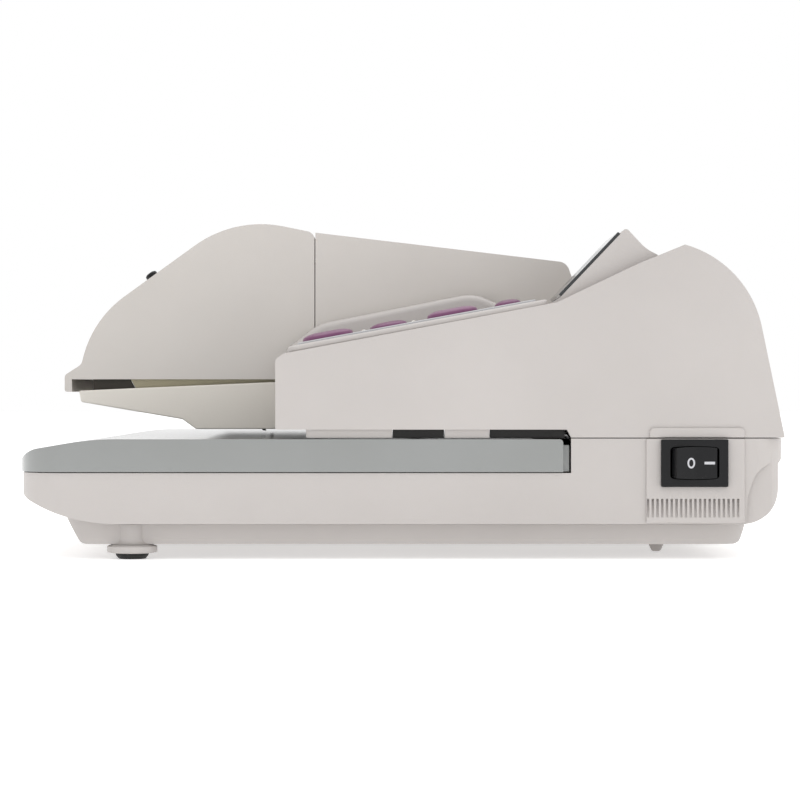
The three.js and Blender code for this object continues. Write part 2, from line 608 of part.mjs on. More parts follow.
function sideFrame(x0) {
  const x1 = x0 + FRAME_THICKNESS;
  const plate = prismX(rounded(FRAME_SIDE), x0, x1);
  const bore = SHAFT_RADIUS + BORE_CLEARANCE;
  const bores = [FEED, RETARD, STACKER, PICK].map((axis) => rodX(bore, x0 - 1, x1 + 1, axis.y, axis.z, 20));
  bores.push(rodX(SHAFT_RADIUS + 3, x0 - 1, x1 + 1, MOTOR.y, MOTOR.z, 24));
  const window = prismX(rounded(rectangle(26, 48, 58, 74, 5)), x0 - 1, x1 + 1);
  return cut(plate, ...bores, window);
}

function roller(axis, width) {
  return ringX(SHAFT_RADIUS + GAP, axis.radius, -width / 2, width / 2, 24);
}

function shaft(x0, x1) {
  return rodX(SHAFT_RADIUS, x0, x1, 0, 0, 18);
}

// Flanged belt pulley, one groove for each belt.
function pulley(radius, width, grooves) {
  const pitch = width / grooves;
  let wheel = rodX(radius - 1, -width / 2, width / 2, 0, 0, 24);
  for (let edge = 0; edge <= grooves; edge += 1) {
    const middle = -width / 2 + edge * pitch;
    const from = Math.max(-width / 2, middle - 0.35);
    const to = Math.min(width / 2, middle + 0.35);
    wheel = join(wheel, rodX(radius, from, to, 0, 0, 24));
  }
  return wheel;
}

function boredPulley(radius, width, grooves) {
  return cut(pulley(radius, width, grooves), rodX(SHAFT_RADIUS + GAP, -width, width, 0, 0, 18));
}

// Belt round two pulleys: an oblong loop in the Y-Z plane.
function belt(from, to, radius, x0, x1) {
  const thickness = 1;
  const inner = radius - 1 + GAP;
  const hull = (grow) => {
    const reach = inner + grow;
    const slope = Math.atan2(to.z - from.z, to.y - from.y);
    const shape = new THREE.Shape();
    shape.absarc(from.y, from.z, reach, slope + Math.PI / 2, slope + 1.5 * Math.PI, false);
    shape.absarc(to.y, to.z, reach, slope - Math.PI / 2, slope + Math.PI / 2, false);
    return shape;
  };
  return cut(prismX(hull(thickness), x0, x1), prismX(hull(0), x0 - 1, x1 + 1));
}

// Finned wheel that beats each note down on to the stack.
function stackerWheel() {
  const blades = 8;
  const hub = rodX(4, -3, 3, 0, 0, 24);
  const fins = [];
  for (let index = 0; index < blades; index += 1) {
    const start = (index / blades) * 2 * Math.PI;
    const shape = new THREE.Shape();
    const polar = (radius, turn) => [radius * Math.cos(start + turn), radius * Math.sin(start + turn)];
    shape.moveTo(...polar(3.4, 0));
    shape.quadraticCurveTo(...polar(6, 0.1), ...polar(STACKER.radius, 0.62));
    shape.lineTo(...polar(STACKER.radius, 0.76));
    shape.quadraticCurveTo(...polar(5.4, 0.36), ...polar(3.4, 0.34));
    fins.push(prismX(shape, -3, 3));
  }
  return cut(join(hub, ...fins), rodX(SHAFT_RADIUS + GAP, -4, 4, 0, 0, 18));
}

function noteGuide() {
  const shape = new THREE.Shape();
  const inner = FEED.radius + 1.6;
  const outer = inner + 1;
  const top = THREE.MathUtils.degToRad(62);
  const bottom = THREE.MathUtils.degToRad(-48);
  shape.absarc(FEED.y, FEED.z, outer, bottom, top, false);
  shape.absarc(FEED.y, FEED.z, inner, top, bottom, true);
  return prismX(shape, FRAME_LEFT + FRAME_THICKNESS + GAP, FRAME_RIGHT - GAP);
}

function transferPlate() {
  const from = FRAME_LEFT + FRAME_THICKNESS + GAP;
  const plate = block(from, FRAME_RIGHT - GAP, LID_SEAM + 4, FEED.y - 6.5, 54.6, 55.6);
  const lip = block(from, FRAME_RIGHT - GAP, LID_SEAM + 4, LID_SEAM + 5, 50, 55.6);
  return join(plate, lip);
}

function buildDrive() {
  const leftX = FRAME_LEFT - 3.6;
  const innerRight = FRAME_RIGHT + FRAME_THICKNESS + GAP;
  add('frame_plate_left', sideFrame(FRAME_LEFT), ZINC);
  add('frame_plate_right', sideFrame(FRAME_RIGHT), ZINC);
  add('note_guide', noteGuide(), STEEL);
  add('transfer_plate', transferPlate(), STEEL);
  const tie = rodX(TIE_BAR.radius, FRAME_LEFT + FRAME_THICKNESS + GAP, FRAME_RIGHT - GAP, 0, 0, 16);
  add('tie_bar_1', tie, STEEL, [0, TIE_BAR.y, TIE_BAR.z]);
  add('feed_shaft', shaft(FRAME_LEFT - 6, innerRight + 3.2), STEEL, [0, FEED.y, FEED.z]);
  add('pick_shaft', shaft(FRAME_LEFT - 1.5, innerRight + 6.4), STEEL, [0, PICK.y, PICK.z]);
  add('stacker_shaft', shaft(FRAME_LEFT - 1.5, innerRight + 6.4), STEEL, [0, STACKER.y, STACKER.z]);
  add('retard_shaft', shaft(FRAME_LEFT - 1.5, FRAME_RIGHT + 3), STEEL, [0, RETARD.y, RETARD.z]);
  rollerPlaces().forEach((x, index) => {
    const side = index === 0 ? 'left' : 'right';
    add(`feed_roller_${side}`, roller(FEED, ROLLER_WIDTH.feed), RUBBER, [x, FEED.y, FEED.z]);
    add(`pick_roller_${side}`, roller(PICK, ROLLER_WIDTH.pick), RUBBER, [x, PICK.y, PICK.z]);
    add(`stacker_wheel_${side}`, stackerWheel(), BLACK, [x, STACKER.y, STACKER.z]);
    add(`retard_roller_${side}`, roller(RETARD, ROLLER_WIDTH.retard), RUBBER, [x, RETARD.y, RETARD.z]);
  });
  const drivePulley = boredPulley(DRIVE_PULLEY_RADIUS, DRIVE_PULLEY_WIDTH, 1);
  const linkPulley = boredPulley(LINK_PULLEY_RADIUS, LINK_PULLEY_WIDTH, 1);
  const doublePulley = boredPulley(LINK_PULLEY_RADIUS, 2 * LINK_PULLEY_WIDTH + 0.2, 2);
  add('feed_pulley', drivePulley, PULLEY_WHITE, [leftX, FEED.y, FEED.z]);
  add('link_pulley', linkPulley, PULLEY_WHITE, [innerRight + 1.6, FEED.y, FEED.z]);
  add('stacker_pulley', doublePulley, PULLEY_WHITE, [innerRight + 3.2, STACKER.y, STACKER.z]);
  add('pick_pulley', linkPulley, PULLEY_WHITE, [innerRight + 4.8, PICK.y, PICK.z]);
  buildMotor(leftX);
  add('drive_belt', belt(FEED, MOTOR, DRIVE_PULLEY_RADIUS, leftX - 1.3, leftX + 1.3), BELT_RUBBER);
  const link = (from, to, x) => belt(from, to, LINK_PULLEY_RADIUS, innerRight + x, innerRight + x + 1.6);
  add('stacker_belt', link(STACKER, FEED, 0.8), BELT_RUBBER);
  add('pick_belt', link(PICK, STACKER, 4), BELT_RUBBER);
}

function buildMotor(pulleyX) {
  const front = FRAME_LEFT + FRAME_THICKNESS + GAP;
  const back = front + 42;
  const body = join(rodX(MOTOR.radius, front, back, 0, 0, 32), rodX(6, back - 1, back + 2, 0, 0, 20));
  const hollow = rodX(SHAFT_RADIUS + GAP, front - 1, front + 12, 0, 0, 18);
  add('motor', cut(body, hollow), ZINC, [0, MOTOR.y, MOTOR.z]);
  const wheel = pulley(DRIVE_PULLEY_RADIUS, DRIVE_PULLEY_WIDTH, 1).translate([pulleyX, 0, 0]);
  const spindle = rodX(SHAFT_RADIUS, pulleyX - 3, front + 11, 0, 0, 18);
  add('motor_pulley', join(wheel, spindle), STEEL, [0, MOTOR.y, MOTOR.z]);
}

// ---------------------------------------------------------------- electrical pieces
// Rocker seen from above: two flats that meet at its middle, and ends round its pivot.
function rocker() {
  const { radius, crown, skirt, halfHeight } = ROCKER;
  const rise = Math.tan(ROCKER_TILT);
  const reach = (Math.sqrt(radius ** 2 * (1 + rise ** 2) - crown ** 2) - crown * rise) / (1 + rise ** 2);
  const top = crown + reach * rise;
  const tip = Math.atan2(reach, top);
  const back = Math.PI - Math.acos(skirt / radius);
  const outline = new THREE.Shape();
  outline.moveTo(crown, 0);
  outline.lineTo(top, reach);
  outline.absarc(0, 0, radius, tip, back, false);
  outline.absarc(0, 0, radius, -back, -tip, false);
  return prismZ(outline, -halfHeight, halfHeight, 0);
}

function buildSwitch() {
  const outside = SIDE_X + PLATE_RAISE;
  const y0 = SWITCH.y - SWITCH.width / 2;
  const y1 = SWITCH.y + SWITCH.width / 2;
  const z0 = SWITCH.z - SWITCH.height / 2;
  const z1 = SWITCH.z + SWITCH.height / 2;
  const bezel = prismX(rounded(rectangle(y0, y1, z0, z1 - 0.1, 1)), outside + 0.15, outside + 1.7, 0.4);
  const { halfLength, halfHeight: bodyHalf } = SWITCH.body;
  const body = block(SIDE_X - 14, outside + 0.6, SWITCH.y - halfLength, SWITCH.y + halfLength,
    SWITCH.z - bodyHalf, SWITCH.z + bodyHalf);
  const halfWell = ROCKER.radius + 0.5;
  const halfHeight = ROCKER.halfHeight + 0.4;
  const well = block(outside - 7.5, outside + 4, SWITCH.y - halfWell, SWITCH.y + halfWell,
    SWITCH.z - halfHeight, SWITCH.z + halfHeight);
  add('switch_bezel', cut(join(bezel, body), well), BLACK);
  const paddle = add('rocker', rocker(), BLACK, [outside - 0.6, SWITCH.y, SWITCH.z]);
  paddle.rotation.z = ROCKER_TILT;
}

function buildInlet() {
  const { x, z, width, height, wallY } = INLET;
  const face = rectangle(x - width / 2, x + width / 2, z - height / 2, z + height / 2, 3);
  const flange = prismY(rounded(face), wallY + GAP, wallY + 1.8);
  const body = block(x - 8.9, x + 8.9, 101, wallY + 1, z - 4.8, z + 4.8);
  const recess = prismY(rounded(rectangle(x - 7.4, x + 7.4, z - 3.9, z + 3.9, 3.8)), 106, 125);
  const pins = [-3.6, 3.6].map((along) => solidOf(new THREE.CylinderGeometry(1.2, 1.2, 11, 12)
    .translate(x + along, 110.6, z)));
  add('power_inlet', join(cut(join(flange, body), recess), ...pins), BLACK);
}

function buildElectronics() {
  add('main_board', block(-70, 70, -70, 30, 17, 18.6), BOARD_GREEN);
  add('transformer', block(-12, 16, 70, 98, 14.2, 41), ZINC);
  add('sensor_bar', block(FRAME_LEFT + 6, FRAME_RIGHT - 5, 20.5, 27, 44.5, 52), BLACK);
}

buildBase();
add('stacker_tray', stackerTray(), TRAY_GREY);
add('pod_housing', podHousing(), WHITE);
buildPanel();
buildDisplay();
add('tower_housing', towerHousing(), WHITE);
buildLid();
add('hopper_floor', hopperFloor(), WHITE);
buildDrive();
buildSwitch();
buildInlet();
buildElectronics();

// The origin is under the middle of the whole machine, at the height of the table.
const extent = new THREE.Box3().setFromObject(machine, true);
machine.position.set(-(extent.min.x + extent.max.x) / 2, -(extent.min.y + extent.max.y) / 2, -extent.min.z);

export default machine;
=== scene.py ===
"""Looks of a compact banknote counter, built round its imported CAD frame.

Outlines are in millimetres, in the machine's own sketch frame: the operator stands at -Y, the
control pod is at +X, and the table is z = 0. at() turns a sketch point into the row frame.
"""
import math

import bmesh
import bpy
from mathutils import Matrix, Vector


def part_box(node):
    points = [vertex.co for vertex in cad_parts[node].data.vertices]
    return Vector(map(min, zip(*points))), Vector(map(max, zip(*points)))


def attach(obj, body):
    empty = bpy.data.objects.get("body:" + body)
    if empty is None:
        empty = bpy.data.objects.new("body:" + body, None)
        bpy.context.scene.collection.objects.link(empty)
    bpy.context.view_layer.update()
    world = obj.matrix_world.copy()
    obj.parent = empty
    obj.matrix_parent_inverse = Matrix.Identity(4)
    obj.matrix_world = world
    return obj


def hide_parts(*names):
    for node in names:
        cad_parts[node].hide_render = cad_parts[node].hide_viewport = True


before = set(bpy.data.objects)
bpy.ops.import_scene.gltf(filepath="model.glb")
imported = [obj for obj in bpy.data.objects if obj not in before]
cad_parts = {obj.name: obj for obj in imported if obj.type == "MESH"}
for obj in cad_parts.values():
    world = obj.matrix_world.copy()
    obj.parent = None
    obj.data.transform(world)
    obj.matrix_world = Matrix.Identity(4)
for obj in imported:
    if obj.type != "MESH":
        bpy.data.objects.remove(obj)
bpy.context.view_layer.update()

# ------------------------------------------------------------------ driving sizes, in mm
MM = 0.001
GAP = 0.3
WALL = 2.5
SIDE_X = 124.2
CLEAR_X = 130
TOWER_RIGHT = 59
TOWER_LEFT = -SIDE_X
FRONT_Y = -119.6
FRONT_BOW = 2.6
REAR_Y = 119.8
SKIRT_BOTTOM = 4.7
BASE_BOTTOM = 11.2
TRAY_SEAM = 27.2
TRAY_TOP = 37.8
TRAY_REAR = 50.5
TONGUE = 2.1
REAR_SEAM = 38
DECK_FRONT = 53
POD_BOTTOM = 40.8
POD_FRONT = -39.5
LID_SEAM = -29.2
LID_BOTTOM = 56.8
HINGE = (-32.6, 103.1)
PIN_RADIUS = 1
POD_BEND = (48.6, 80.6, 6)
POD_CROWN = (74, 92.7, 40)
CREST_CENTRE = (79.5, 66.1)
CREST_RADIUS = 33.8
CREST_FROM = math.radians(74.4)
CREST_TO = math.radians(11.7)
LID_FACE = ((-103.6, 76.9, 36), (-55.9, 111.4, 38))
ROLLER_X = (-65, -1)
FEED = (6, 48)
RETARD = (3, 66.2)
STACKER = (-48, 46.4)
PICK = (-66, 48.9)
MOTOR = (80, 60)
SHAFT_RADIUS = 2
DRIVE_PULLEY = (7, 4)
LINK_PULLEY = (3.9, 3)
FEED_ROLLER = (8.8, 18)
PICK_ROLLER = (6.7, 14)
RETARD_ROLLER = (9, 12)
FRAME_LEFT = -111.5
FRAME_RIGHT = 47.5
PULLEY_X = FRAME_LEFT - 3.6
LINK_X = FRAME_RIGHT + 1.8
MOTOR_X = FRAME_LEFT + 1.8
PANEL_FOOT = (-35, 66.9)
PANEL_SLOPE = math.radians(10.4)
PANEL_LENGTH = 82
KEYPAD_LEFT = 75
KEYPAD_RIGHT = 119
KEYPAD_FRONT = 2
KEYPAD_REAR = PANEL_LENGTH - 3
SIDE_PLATE = {"front": 76.4, "rear": 107.2, "bottom": 11.6}
PLATE_TAB = {"front": 77.5, "top": 41.4}
STUD_PLACE = (47, -84.3, 91.3)
LUG_X = (-104, 36)
KNUCKLE_X = (-97, 29)
HOOD_LEFT = 66
HOOD_RIGHT = 120.4
INLET_X = 70
INLET_Z = 23.6
SWITCH_Y = 91.4
SWITCH_Z = 30.4
SWITCH_RIM = (10.5, 7.5)
SWITCH_BODY = (8.9, 5.9)
PLATE_RAISE = 0.8
ROCKER_TILT = math.radians(10)
ROCKER_RADIUS = 7.3
ROCKER_CROWN = 2.3
ROCKER_HALF = 4.6
FOOT = (115.5, -85)
REAR_FOOT = (74, 84)
VENT_COUNT = 20
VENT_PITCH = 1.48
VENT_MIDDLE = 91
VENT_WIDTH = 0.76
WINDOW_FOOT = Vector((49.2, 83.1))
WINDOW_HEAD = Vector((68.2, 103.1))
WINDOW_PROUD = 1

tray_low, tray_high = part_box("stacker_tray")
ORIGIN = Vector(((tray_low.x + tray_high.x) / 2, tray_high.y - (TRAY_REAR + TONGUE) * MM, 0))


def at(x, y, z):
    """A sketch point, in mm, as a point of the row frame, in metres."""
    return ORIGIN + Vector((x, y, z)) * MM


# ------------------------------------------------------------------ outlines
def rounded(corners, steps=12):
    """Closed outline through corners (a, b[, radius]); a corner with a radius becomes an arc.

    Two arcs that meet on one edge share its length.
    """
    count = len(corners)
    at_index = [Vector(corner[:2]) for corner in corners]
    spokes = [(at_index[i - 1] - here, at_index[(i + 1) % count] - here) for i, here in enumerate(at_index)]
    wanted = []
    for corner, (before, after) in zip(corners, spokes):
        radius = corner[2] if len(corner) > 2 else 0
        wanted.append(radius / math.tan(before.angle(after) / 2) if radius > 0 else 0)
    points = []
    for index, here in enumerate(at_index):
        if wanted[index] <= 0:
            points.append(here)
            continue
        before, after = spokes[index]
        reach = wanted[index]
        for spoke, near in ((before, index - 1), (after, (index + 1) % count)):
            total = wanted[index] + wanted[near]
            reach = min(reach, wanted[index] * min(1, spoke.length * 0.98 / total))
        half = before.angle(after) / 2
        before, after = before.normalized(), after.normalized()
        centre = here + (before + after).normalized() * (reach / math.cos(half))
        start = here + before * reach - centre
        end = here + after * reach - centre
        turn = math.atan2(start.x * end.y - start.y * end.x, start.dot(end))
        for step in range(steps + 1):
            angle = turn * step / steps
            cos, sin = math.cos(angle), math.sin(angle)
            points.append(centre + Vector((start.x * cos - start.y * sin, start.x * sin + start.y * cos)))
    return points


def inset(corners, distance):
    """The same closed run of corners, moved inwards by a distance."""
    count = len(corners)
    at_index = [Vector(corner[:2]) for corner in corners]
    area = sum(at_index[i - 1].x * at_index[i].y - at_index[i - 1].y * at_index[i].x for i in range(count))
    side = 1 if area > 0 else -1
    moved = []
    for index, here in enumerate(at_index):
        along = (here - at_index[index - 1]).normalized()
        onward = (at_index[(index + 1) % count] - here).normalized()
        first = Vector((-along.y, along.x)) * side
        second = Vector((-onward.y, onward.x)) * side
        shift = (first + second) * (distance / (1 + first.dot(second)))
        convex = (along.x * onward.y - along.y * onward.x) * side > 0
        radius = corners[index][2] if len(corners[index]) > 2 else 0
        if radius > 0:
            radius = max(0, radius + (-distance if convex else distance))
        moved.append((here.x + shift.x, here.y + shift.y, radius))
    return moved


def rectangle(a0, a1, b0, b1, radius=0):
    return [(a0, b0, radius), (a1, b0, radius), (a1, b1, radius), (a0, b1, radius)]


# ------------------------------------------------------------------ mesh tools
def new_object(name, mesh):
    piece = bpy.data.objects.new(name, mesh)
    bpy.context.scene.collection.objects.link(piece)
    return piece


def prism(name, points, low, high, axis="X"):
    """An outline across an axis, pushed from low to high along it. X: (y, z), Y: (x, z), Z: (x, y)."""
    place = {
        "X": lambda a, b, c: at(c, a, b),
        "Y": lambda a, b, c: at(a, c, b),
        "Z": lambda a, b, c: at(a, b, c),
    }
    shape = bmesh.new()
    rings = [[shape.verts.new(place[axis](p[0], p[1], c)) for p in points] for c in (low, high)]
    count = len(points)
    shape.faces.new(rings[0])
    shape.faces.new(rings[1])
    for i in range(count):
        j = (i + 1) % count
        shape.faces.new((rings[0][i], rings[0][j], rings[1][j], rings[1][i]))
    bmesh.ops.recalc_face_normals(shape, faces=shape.faces)
    mesh = bpy.data.meshes.new(name)
    shape.to_mesh(mesh)
    shape.free()
    return new_object(name, mesh)


def block(name, x0, x1, y0, y1, z0, z1):
    return prism(name, [(y0, z0), (y1, z0), (y1, z1), (y0, z1)], x0, x1)


def turned(name, profile, centre, axis="Z", steps=64):
    """A turned piece: profile of (radius, height) about an axis through centre, a sketch point."""
    directions = {"X": Matrix.Rotation(math.pi / 2, 4, "Y"), "Y": Matrix.Rotation(-math.pi / 2, 4, "X"),
                  "Z": Matrix.Identity(4)}
    shape = bmesh.new()
    rings = []
    for radius, height in profile:
        if radius <= 0:
            rings.append([shape.verts.new((0, 0, height * MM))] * steps)
            continue
        angles = [2 * math.pi * i / steps for i in range(steps)]
        rings.append([shape.verts.new((radius * MM * math.cos(a), radius * MM * math.sin(a), height * MM))
                      for a in angles])
    for lower, upper in zip(rings, rings[1:]):
        for i in range(steps):
            j = (i + 1) % steps
            corners = []
            for vert in (lower[i], lower[j], upper[j], upper[i]):
                if vert not in corners:
                    corners.append(vert)
            if len(corners) > 2:
                shape.faces.new(corners)
    if profile[0][0] > 0 and profile[0] != profile[-1]:
        shape.faces.new(rings[0])
        shape.faces.new(rings[-1])
    if profile[0] == profile[-1]:
        bmesh.ops.remove_doubles(shape, verts=shape.verts, dist=1e-7)
    bmesh.ops.transform(shape, matrix=Matrix.Translation(at(*centre)) @ directions[axis], verts=shape.verts)
    bmesh.ops.recalc_face_normals(shape, faces=shape.faces)
    mesh = bpy.data.meshes.new(name)
    shape.to_mesh(mesh)
    shape.free()
    return new_object(name, mesh)


def settle(piece):
    """Makes a piece's modifiers part of its mesh."""
    depsgraph = bpy.context.evaluated_depsgraph_get()
    mesh = bpy.data.meshes.new_from_object(piece.evaluated_get(depsgraph))
    piece.modifiers.clear()
    old = piece.data
    piece.data = mesh
    bpy.data.meshes.remove(old)
    return piece


def soften(piece, width, segments=4, angle=32, tight=None, tight_width=0.3):
    """Rounds a piece's sharp edges by a width in mm; where tight(point) holds, by the tight width."""
    shape = bmesh.new()
    shape.from_mesh(piece.data)
    weights = shape.edges.layers.float.new("bevel_weight_edge")
    for edge in shape.edges:
        if len(edge.link_faces) == 2 and edge.calc_face_angle(0) > math.radians(angle):
            middle = ((edge.verts[0].co + edge.verts[1].co) / 2 - ORIGIN) / MM
            edge[weights] = tight_width / width if tight and tight(middle) else 1
    shape.to_mesh(piece.data)
    shape.free()
    bevel = piece.modifiers.new("soften", "BEVEL")
    bevel.width = width * MM
    bevel.segments = segments
    bevel.limit_method = "WEIGHT"
    bevel.use_clamp_overlap = True
    bevel.miter_outer = "MITER_ARC"
    return settle(piece)


def combine(piece, others, operation="DIFFERENCE"):
    """Cuts other solids out of a piece, joins them to it or keeps what they share."""
    for other in others:
        boolean = piece.modifiers.new("combine", "BOOLEAN")
        boolean.operation = operation
        boolean.solver = "EXACT"
        boolean.object = other
        settle(piece)
        bpy.data.objects.remove(other, do_unlink=True)
    return piece


def smooth(piece, angle=38):
    piece.data.shade_smooth()
    piece.data.set_sharp_from_angle(angle=math.radians(angle))
    weighted = piece.modifiers.new("normals", "WEIGHTED_NORMAL")
    weighted.keep_sharp = True
    return piece


def finish_piece(piece, material, body, slot, *nodes):
    """Gives a finished piece its material and its body, and hides the CAD nodes that it stands for. The
    slot argument is not used.
    """
    piece.data.materials.clear()
    piece.data.materials.append(material)
    smooth(piece)
    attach(piece, body)
    if nodes:
        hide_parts(*nodes)
    return piece


# ------------------------------------------------------------------ materials
def colour_of(hex_code):
    """An sRGB hex colour as linear RGBA."""
    parts = [int(hex_code[i:i + 2], 16) / 255 for i in (0, 2, 4)]
    return [c / 12.92 if c <= 0.04045 else ((c + 0.055) / 1.055) ** 2.4 for c in parts] + [1]


def surface(name, dark, light, roughness, grain=2200, bump=0.08, patch=18, metallic=0.0, rough_spread=0.06,
            coat=0.0, sheen=0.0, subsurface=0.0, brushed=None, coat_roughness=0.2, specular=0.5):
    """A moulded or metal surface: two near colours in soft patches, a fine grain, uneven gloss."""
    material = bpy.data.materials.new(name)
    material.use_nodes = True
    nodes, links = material.node_tree.nodes, material.node_tree.links
    shader = nodes["Principled BSDF"]
    shader.inputs["Metallic"].default_value = metallic
    shader.inputs["Specular IOR Level"].default_value = specular
    shader.inputs["Coat Weight"].default_value = coat
    shader.inputs["Coat Roughness"].default_value = coat_roughness
    shader.inputs["Sheen Weight"].default_value = sheen
    shader.inputs["Subsurface Weight"].default_value = subsurface
    shader.inputs["Subsurface Radius"].default_value = (0.004, 0.003, 0.002)
    where = nodes.new("ShaderNodeTexCoord")
    stretch = nodes.new("ShaderNodeMapping")
    stretch.inputs["Scale"].default_value = brushed or (1, 1, 1)
    links.new(where.outputs["Object"], stretch.inputs["Vector"])
    patches = nodes.new("ShaderNodeTexNoise")
    patches.inputs["Scale"].default_value = patch
    patches.inputs["Detail"].default_value = 4
    links.new(where.outputs["Object"], patches.inputs["Vector"])
    ramp = nodes.new("ShaderNodeValToRGB")
    ramp.color_ramp.elements[0].position = 0.3
    ramp.color_ramp.elements[0].color = colour_of(dark)
    ramp.color_ramp.elements[1].position = 0.7
    ramp.color_ramp.elements[1].color = colour_of(light)
    links.new(patches.outputs["Fac"], ramp.inputs["Fac"])
    links.new(ramp.outputs["Color"], shader.inputs["Base Color"])
    fine = nodes.new("ShaderNodeTexNoise")
    fine.inputs["Scale"].default_value = grain
    fine.inputs["Detail"].default_value = 3
    links.new(stretch.outputs["Vector"], fine.inputs["Vector"])
    spread = nodes.new("ShaderNodeMapRange")
    spread.inputs["To Min"].default_value = roughness - rough_spread
    spread.inputs["To Max"].default_value = roughness + rough_spread
    links.new(patches.outputs["Fac"], spread.inputs["Value"])
    links.new(spread.outputs["Result"], shader.inputs["Roughness"])
    relief = nodes.new("ShaderNodeBump")
    relief.inputs["Strength"].default_value = bump
    relief.inputs["Distance"].default_value = 0.0002
    links.new(fine.outputs["Fac"], relief.inputs["Height"])
    links.new(relief.outputs["Normal"], shader.inputs["Normal"])
    return material


WHITE = surface("housing_white", "b2adaa", "b8b3b0", 0.42, grain=2600, bump=0.10, subsurface=0.03)
# Painted light: lit and shaded copies of one white plastic. The pod and base get the darker housing white;
# the tower and lid get this lighter copy, painted lighter to offset the shade they get beside the pod.
TOWER_WHITE_PAINTED_LIGHTER = surface("tower_white_painted_lighter", "c2bdb8", "c8c3be", 0.42, grain=2600, bump=0.10, subsurface=0.03)
# Painted light: a still lighter copy of the same white plastic for the hopper shelf, painted lighter to
# offset the shade under the lid.
INNER_WHITE_PAINTED_LIGHTER = surface("housing_inner_painted_lighter", "d3cec6", "dad5cd", 0.48, grain=1800, bump=0.12)
GREY = surface("tray_grey", "7c7e7c", "838584", 0.3, grain=2600, bump=0.04, coat=1.0, coat_roughness=0.08)
KEYPAD = surface("keypad_grey", "b3b3b5", "bcbcbe", 0.5, grain=3000, bump=0.12)
PURPLE = surface("key_purple", "67345a", "733e64", 0.36, grain=1800, bump=0.05, sheen=0.05, subsurface=0.06)
LENS = surface("indicator_lens", "c3c1bb", "cdcbc6", 0.25, grain=900, bump=0.02, subsurface=0.2, coat=0.5)
BLACK = surface("switch_black", "0c0c0e", "121214", 0.34, grain=2400, bump=0.08, specular=0.25)
WHITE_INK = surface("rocker_mark", "b4b4b8", "c0c0c4", 0.45, grain=2000, bump=0.05)
LCD = surface("display_cell", "1f282b", "263034", 0.22, grain=600, bump=0.02, coat=0.4)
# Painted shade: a dark brown that stands for the shade inside the slot under the lid's lip.
PAINTED_SHADE_BROWN = surface("painted_shade_brown", "37322a", "423c33", 0.55, grain=1600, bump=0.2)
FENCE = surface("fence_satin", "b5ad90", "c0b89b", 0.36, grain=1400, bump=0.08, metallic=0.2)
RUBBER = surface("black_rubber", "131313", "1d1c1b", 0.75, grain=1500, bump=0.35, sheen=0.1)
SMOKE = surface("smoked_window", "10161a", "161e23", 0.1, grain=700, bump=0.01, coat=0.6, rough_spread=0.03)
STEEL = surface("ground_steel", "b4b7ba", "c6c8ca", 0.28, grain=900, bump=0.12, metallic=1.0,
                brushed=(0.05, 1, 1))
ZINC = surface("zinc_sheet", "9a9fa2", "b2b6b8", 0.42, grain=600, bump=0.15, metallic=1.0, patch=60,
               rough_spread=0.12)
TAPE = surface("winding_tape", "b98f2c", "c79c38", 0.3, grain=800, bump=0.05)
ACETAL = surface("pulley_acetal", "dedcd4", "e9e7e0", 0.4, grain=1500, bump=0.08, subsurface=0.1)
BOARD = surface("board_green", "17522b", "1d6a38", 0.35, grain=500, bump=0.2, patch=240, coat=0.3)


# ------------------------------------------------------------------ base
def base_plan(shrink=0.0):
    half = SIDE_X - shrink
    front = FRONT_Y + shrink
    rear = REAR_Y - shrink
    bow = 9
    edge = []
    for step in range(1, bow):
        across = step / bow
        edge.append((half * (2 * across - 1), front - FRONT_BOW * 4 * across * (1 - across)))
    return ([(-half, rear, 9 - shrink), (-half, front, 16 - shrink)] + edge
            + [(half, front, 16 - shrink), (half, rear, 9 - shrink)])


def build_base():
    side = [(-123.4, TRAY_SEAM), (-120.2, 19.8, 10), (-101.5, BASE_BOTTOM, 60), (118.2, BASE_BOTTOM, 11.5),
            (118.2, 30.2), (REAR_Y + 0.1, 31.9), (REAR_Y + 0.1, REAR_SEAM), (DECK_FRONT, REAR_SEAM),
            (DECK_FRONT, TRAY_SEAM)]
    shell = prism("base_housing", rounded(side, 18), -CLEAR_X, CLEAR_X)
    combine(shell, [prism("plan", rounded(base_plan()), 0, 60, "Z")], "INTERSECT")
    soften(shell, 0.9, 3)
    floor_top = BASE_BOTTOM + WALL
    room = [(-104, floor_top + 8, 5), (-96, floor_top + 1, 12), (115.6, floor_top, 9), (115.6, 50),
            (-112, 50), (-114, TRAY_SEAM - 3)]
    cavity = prism("room", rounded(room), -CLEAR_X, CLEAR_X)
    combine(cavity, [prism("plan", rounded(base_plan(WALL)), 0, 60, "Z")], "INTERSECT")
    face = rectangle(SIDE_PLATE["front"], SIDE_PLATE["rear"], SIDE_PLATE["bottom"], REAR_SEAM, 0.6)
    plate = prism("plate", rounded(face), SIDE_X - 1, SIDE_X + PLATE_RAISE)
    soften(plate, 0.35, 3)
    combine(shell, [plate], "UNION")
    scoop = [(122, 8), (122, 31.7), (117.4, 31.6, 7), (110.6, 27.5, 9), (108.2, 20, 8), (107.5, 8)]
    scoop_cut = prism("scoop", rounded(scoop), SIDE_X - 1.4, SIDE_X + 2)
    along, up = (half + 0.4 for half in SWITCH_BODY)
    switch_hole = block("switch_hole", SIDE_X - 6, SIDE_X + 3, SWITCH_Y - along, SWITCH_Y + along,
                        SWITCH_Z - up, SWITCH_Z + up)
    inlet_hole = block("inlet_hole", INLET_X - 9.3, INLET_X + 9.3, 104, 125, INLET_Z - 5.2, INLET_Z + 5.2)
    combine(shell, [cavity, scoop_cut, switch_hole, inlet_hole] + vent_grooves())
    finish_piece(shell, WHITE, "chassis", "white_plastic", "base_shell")


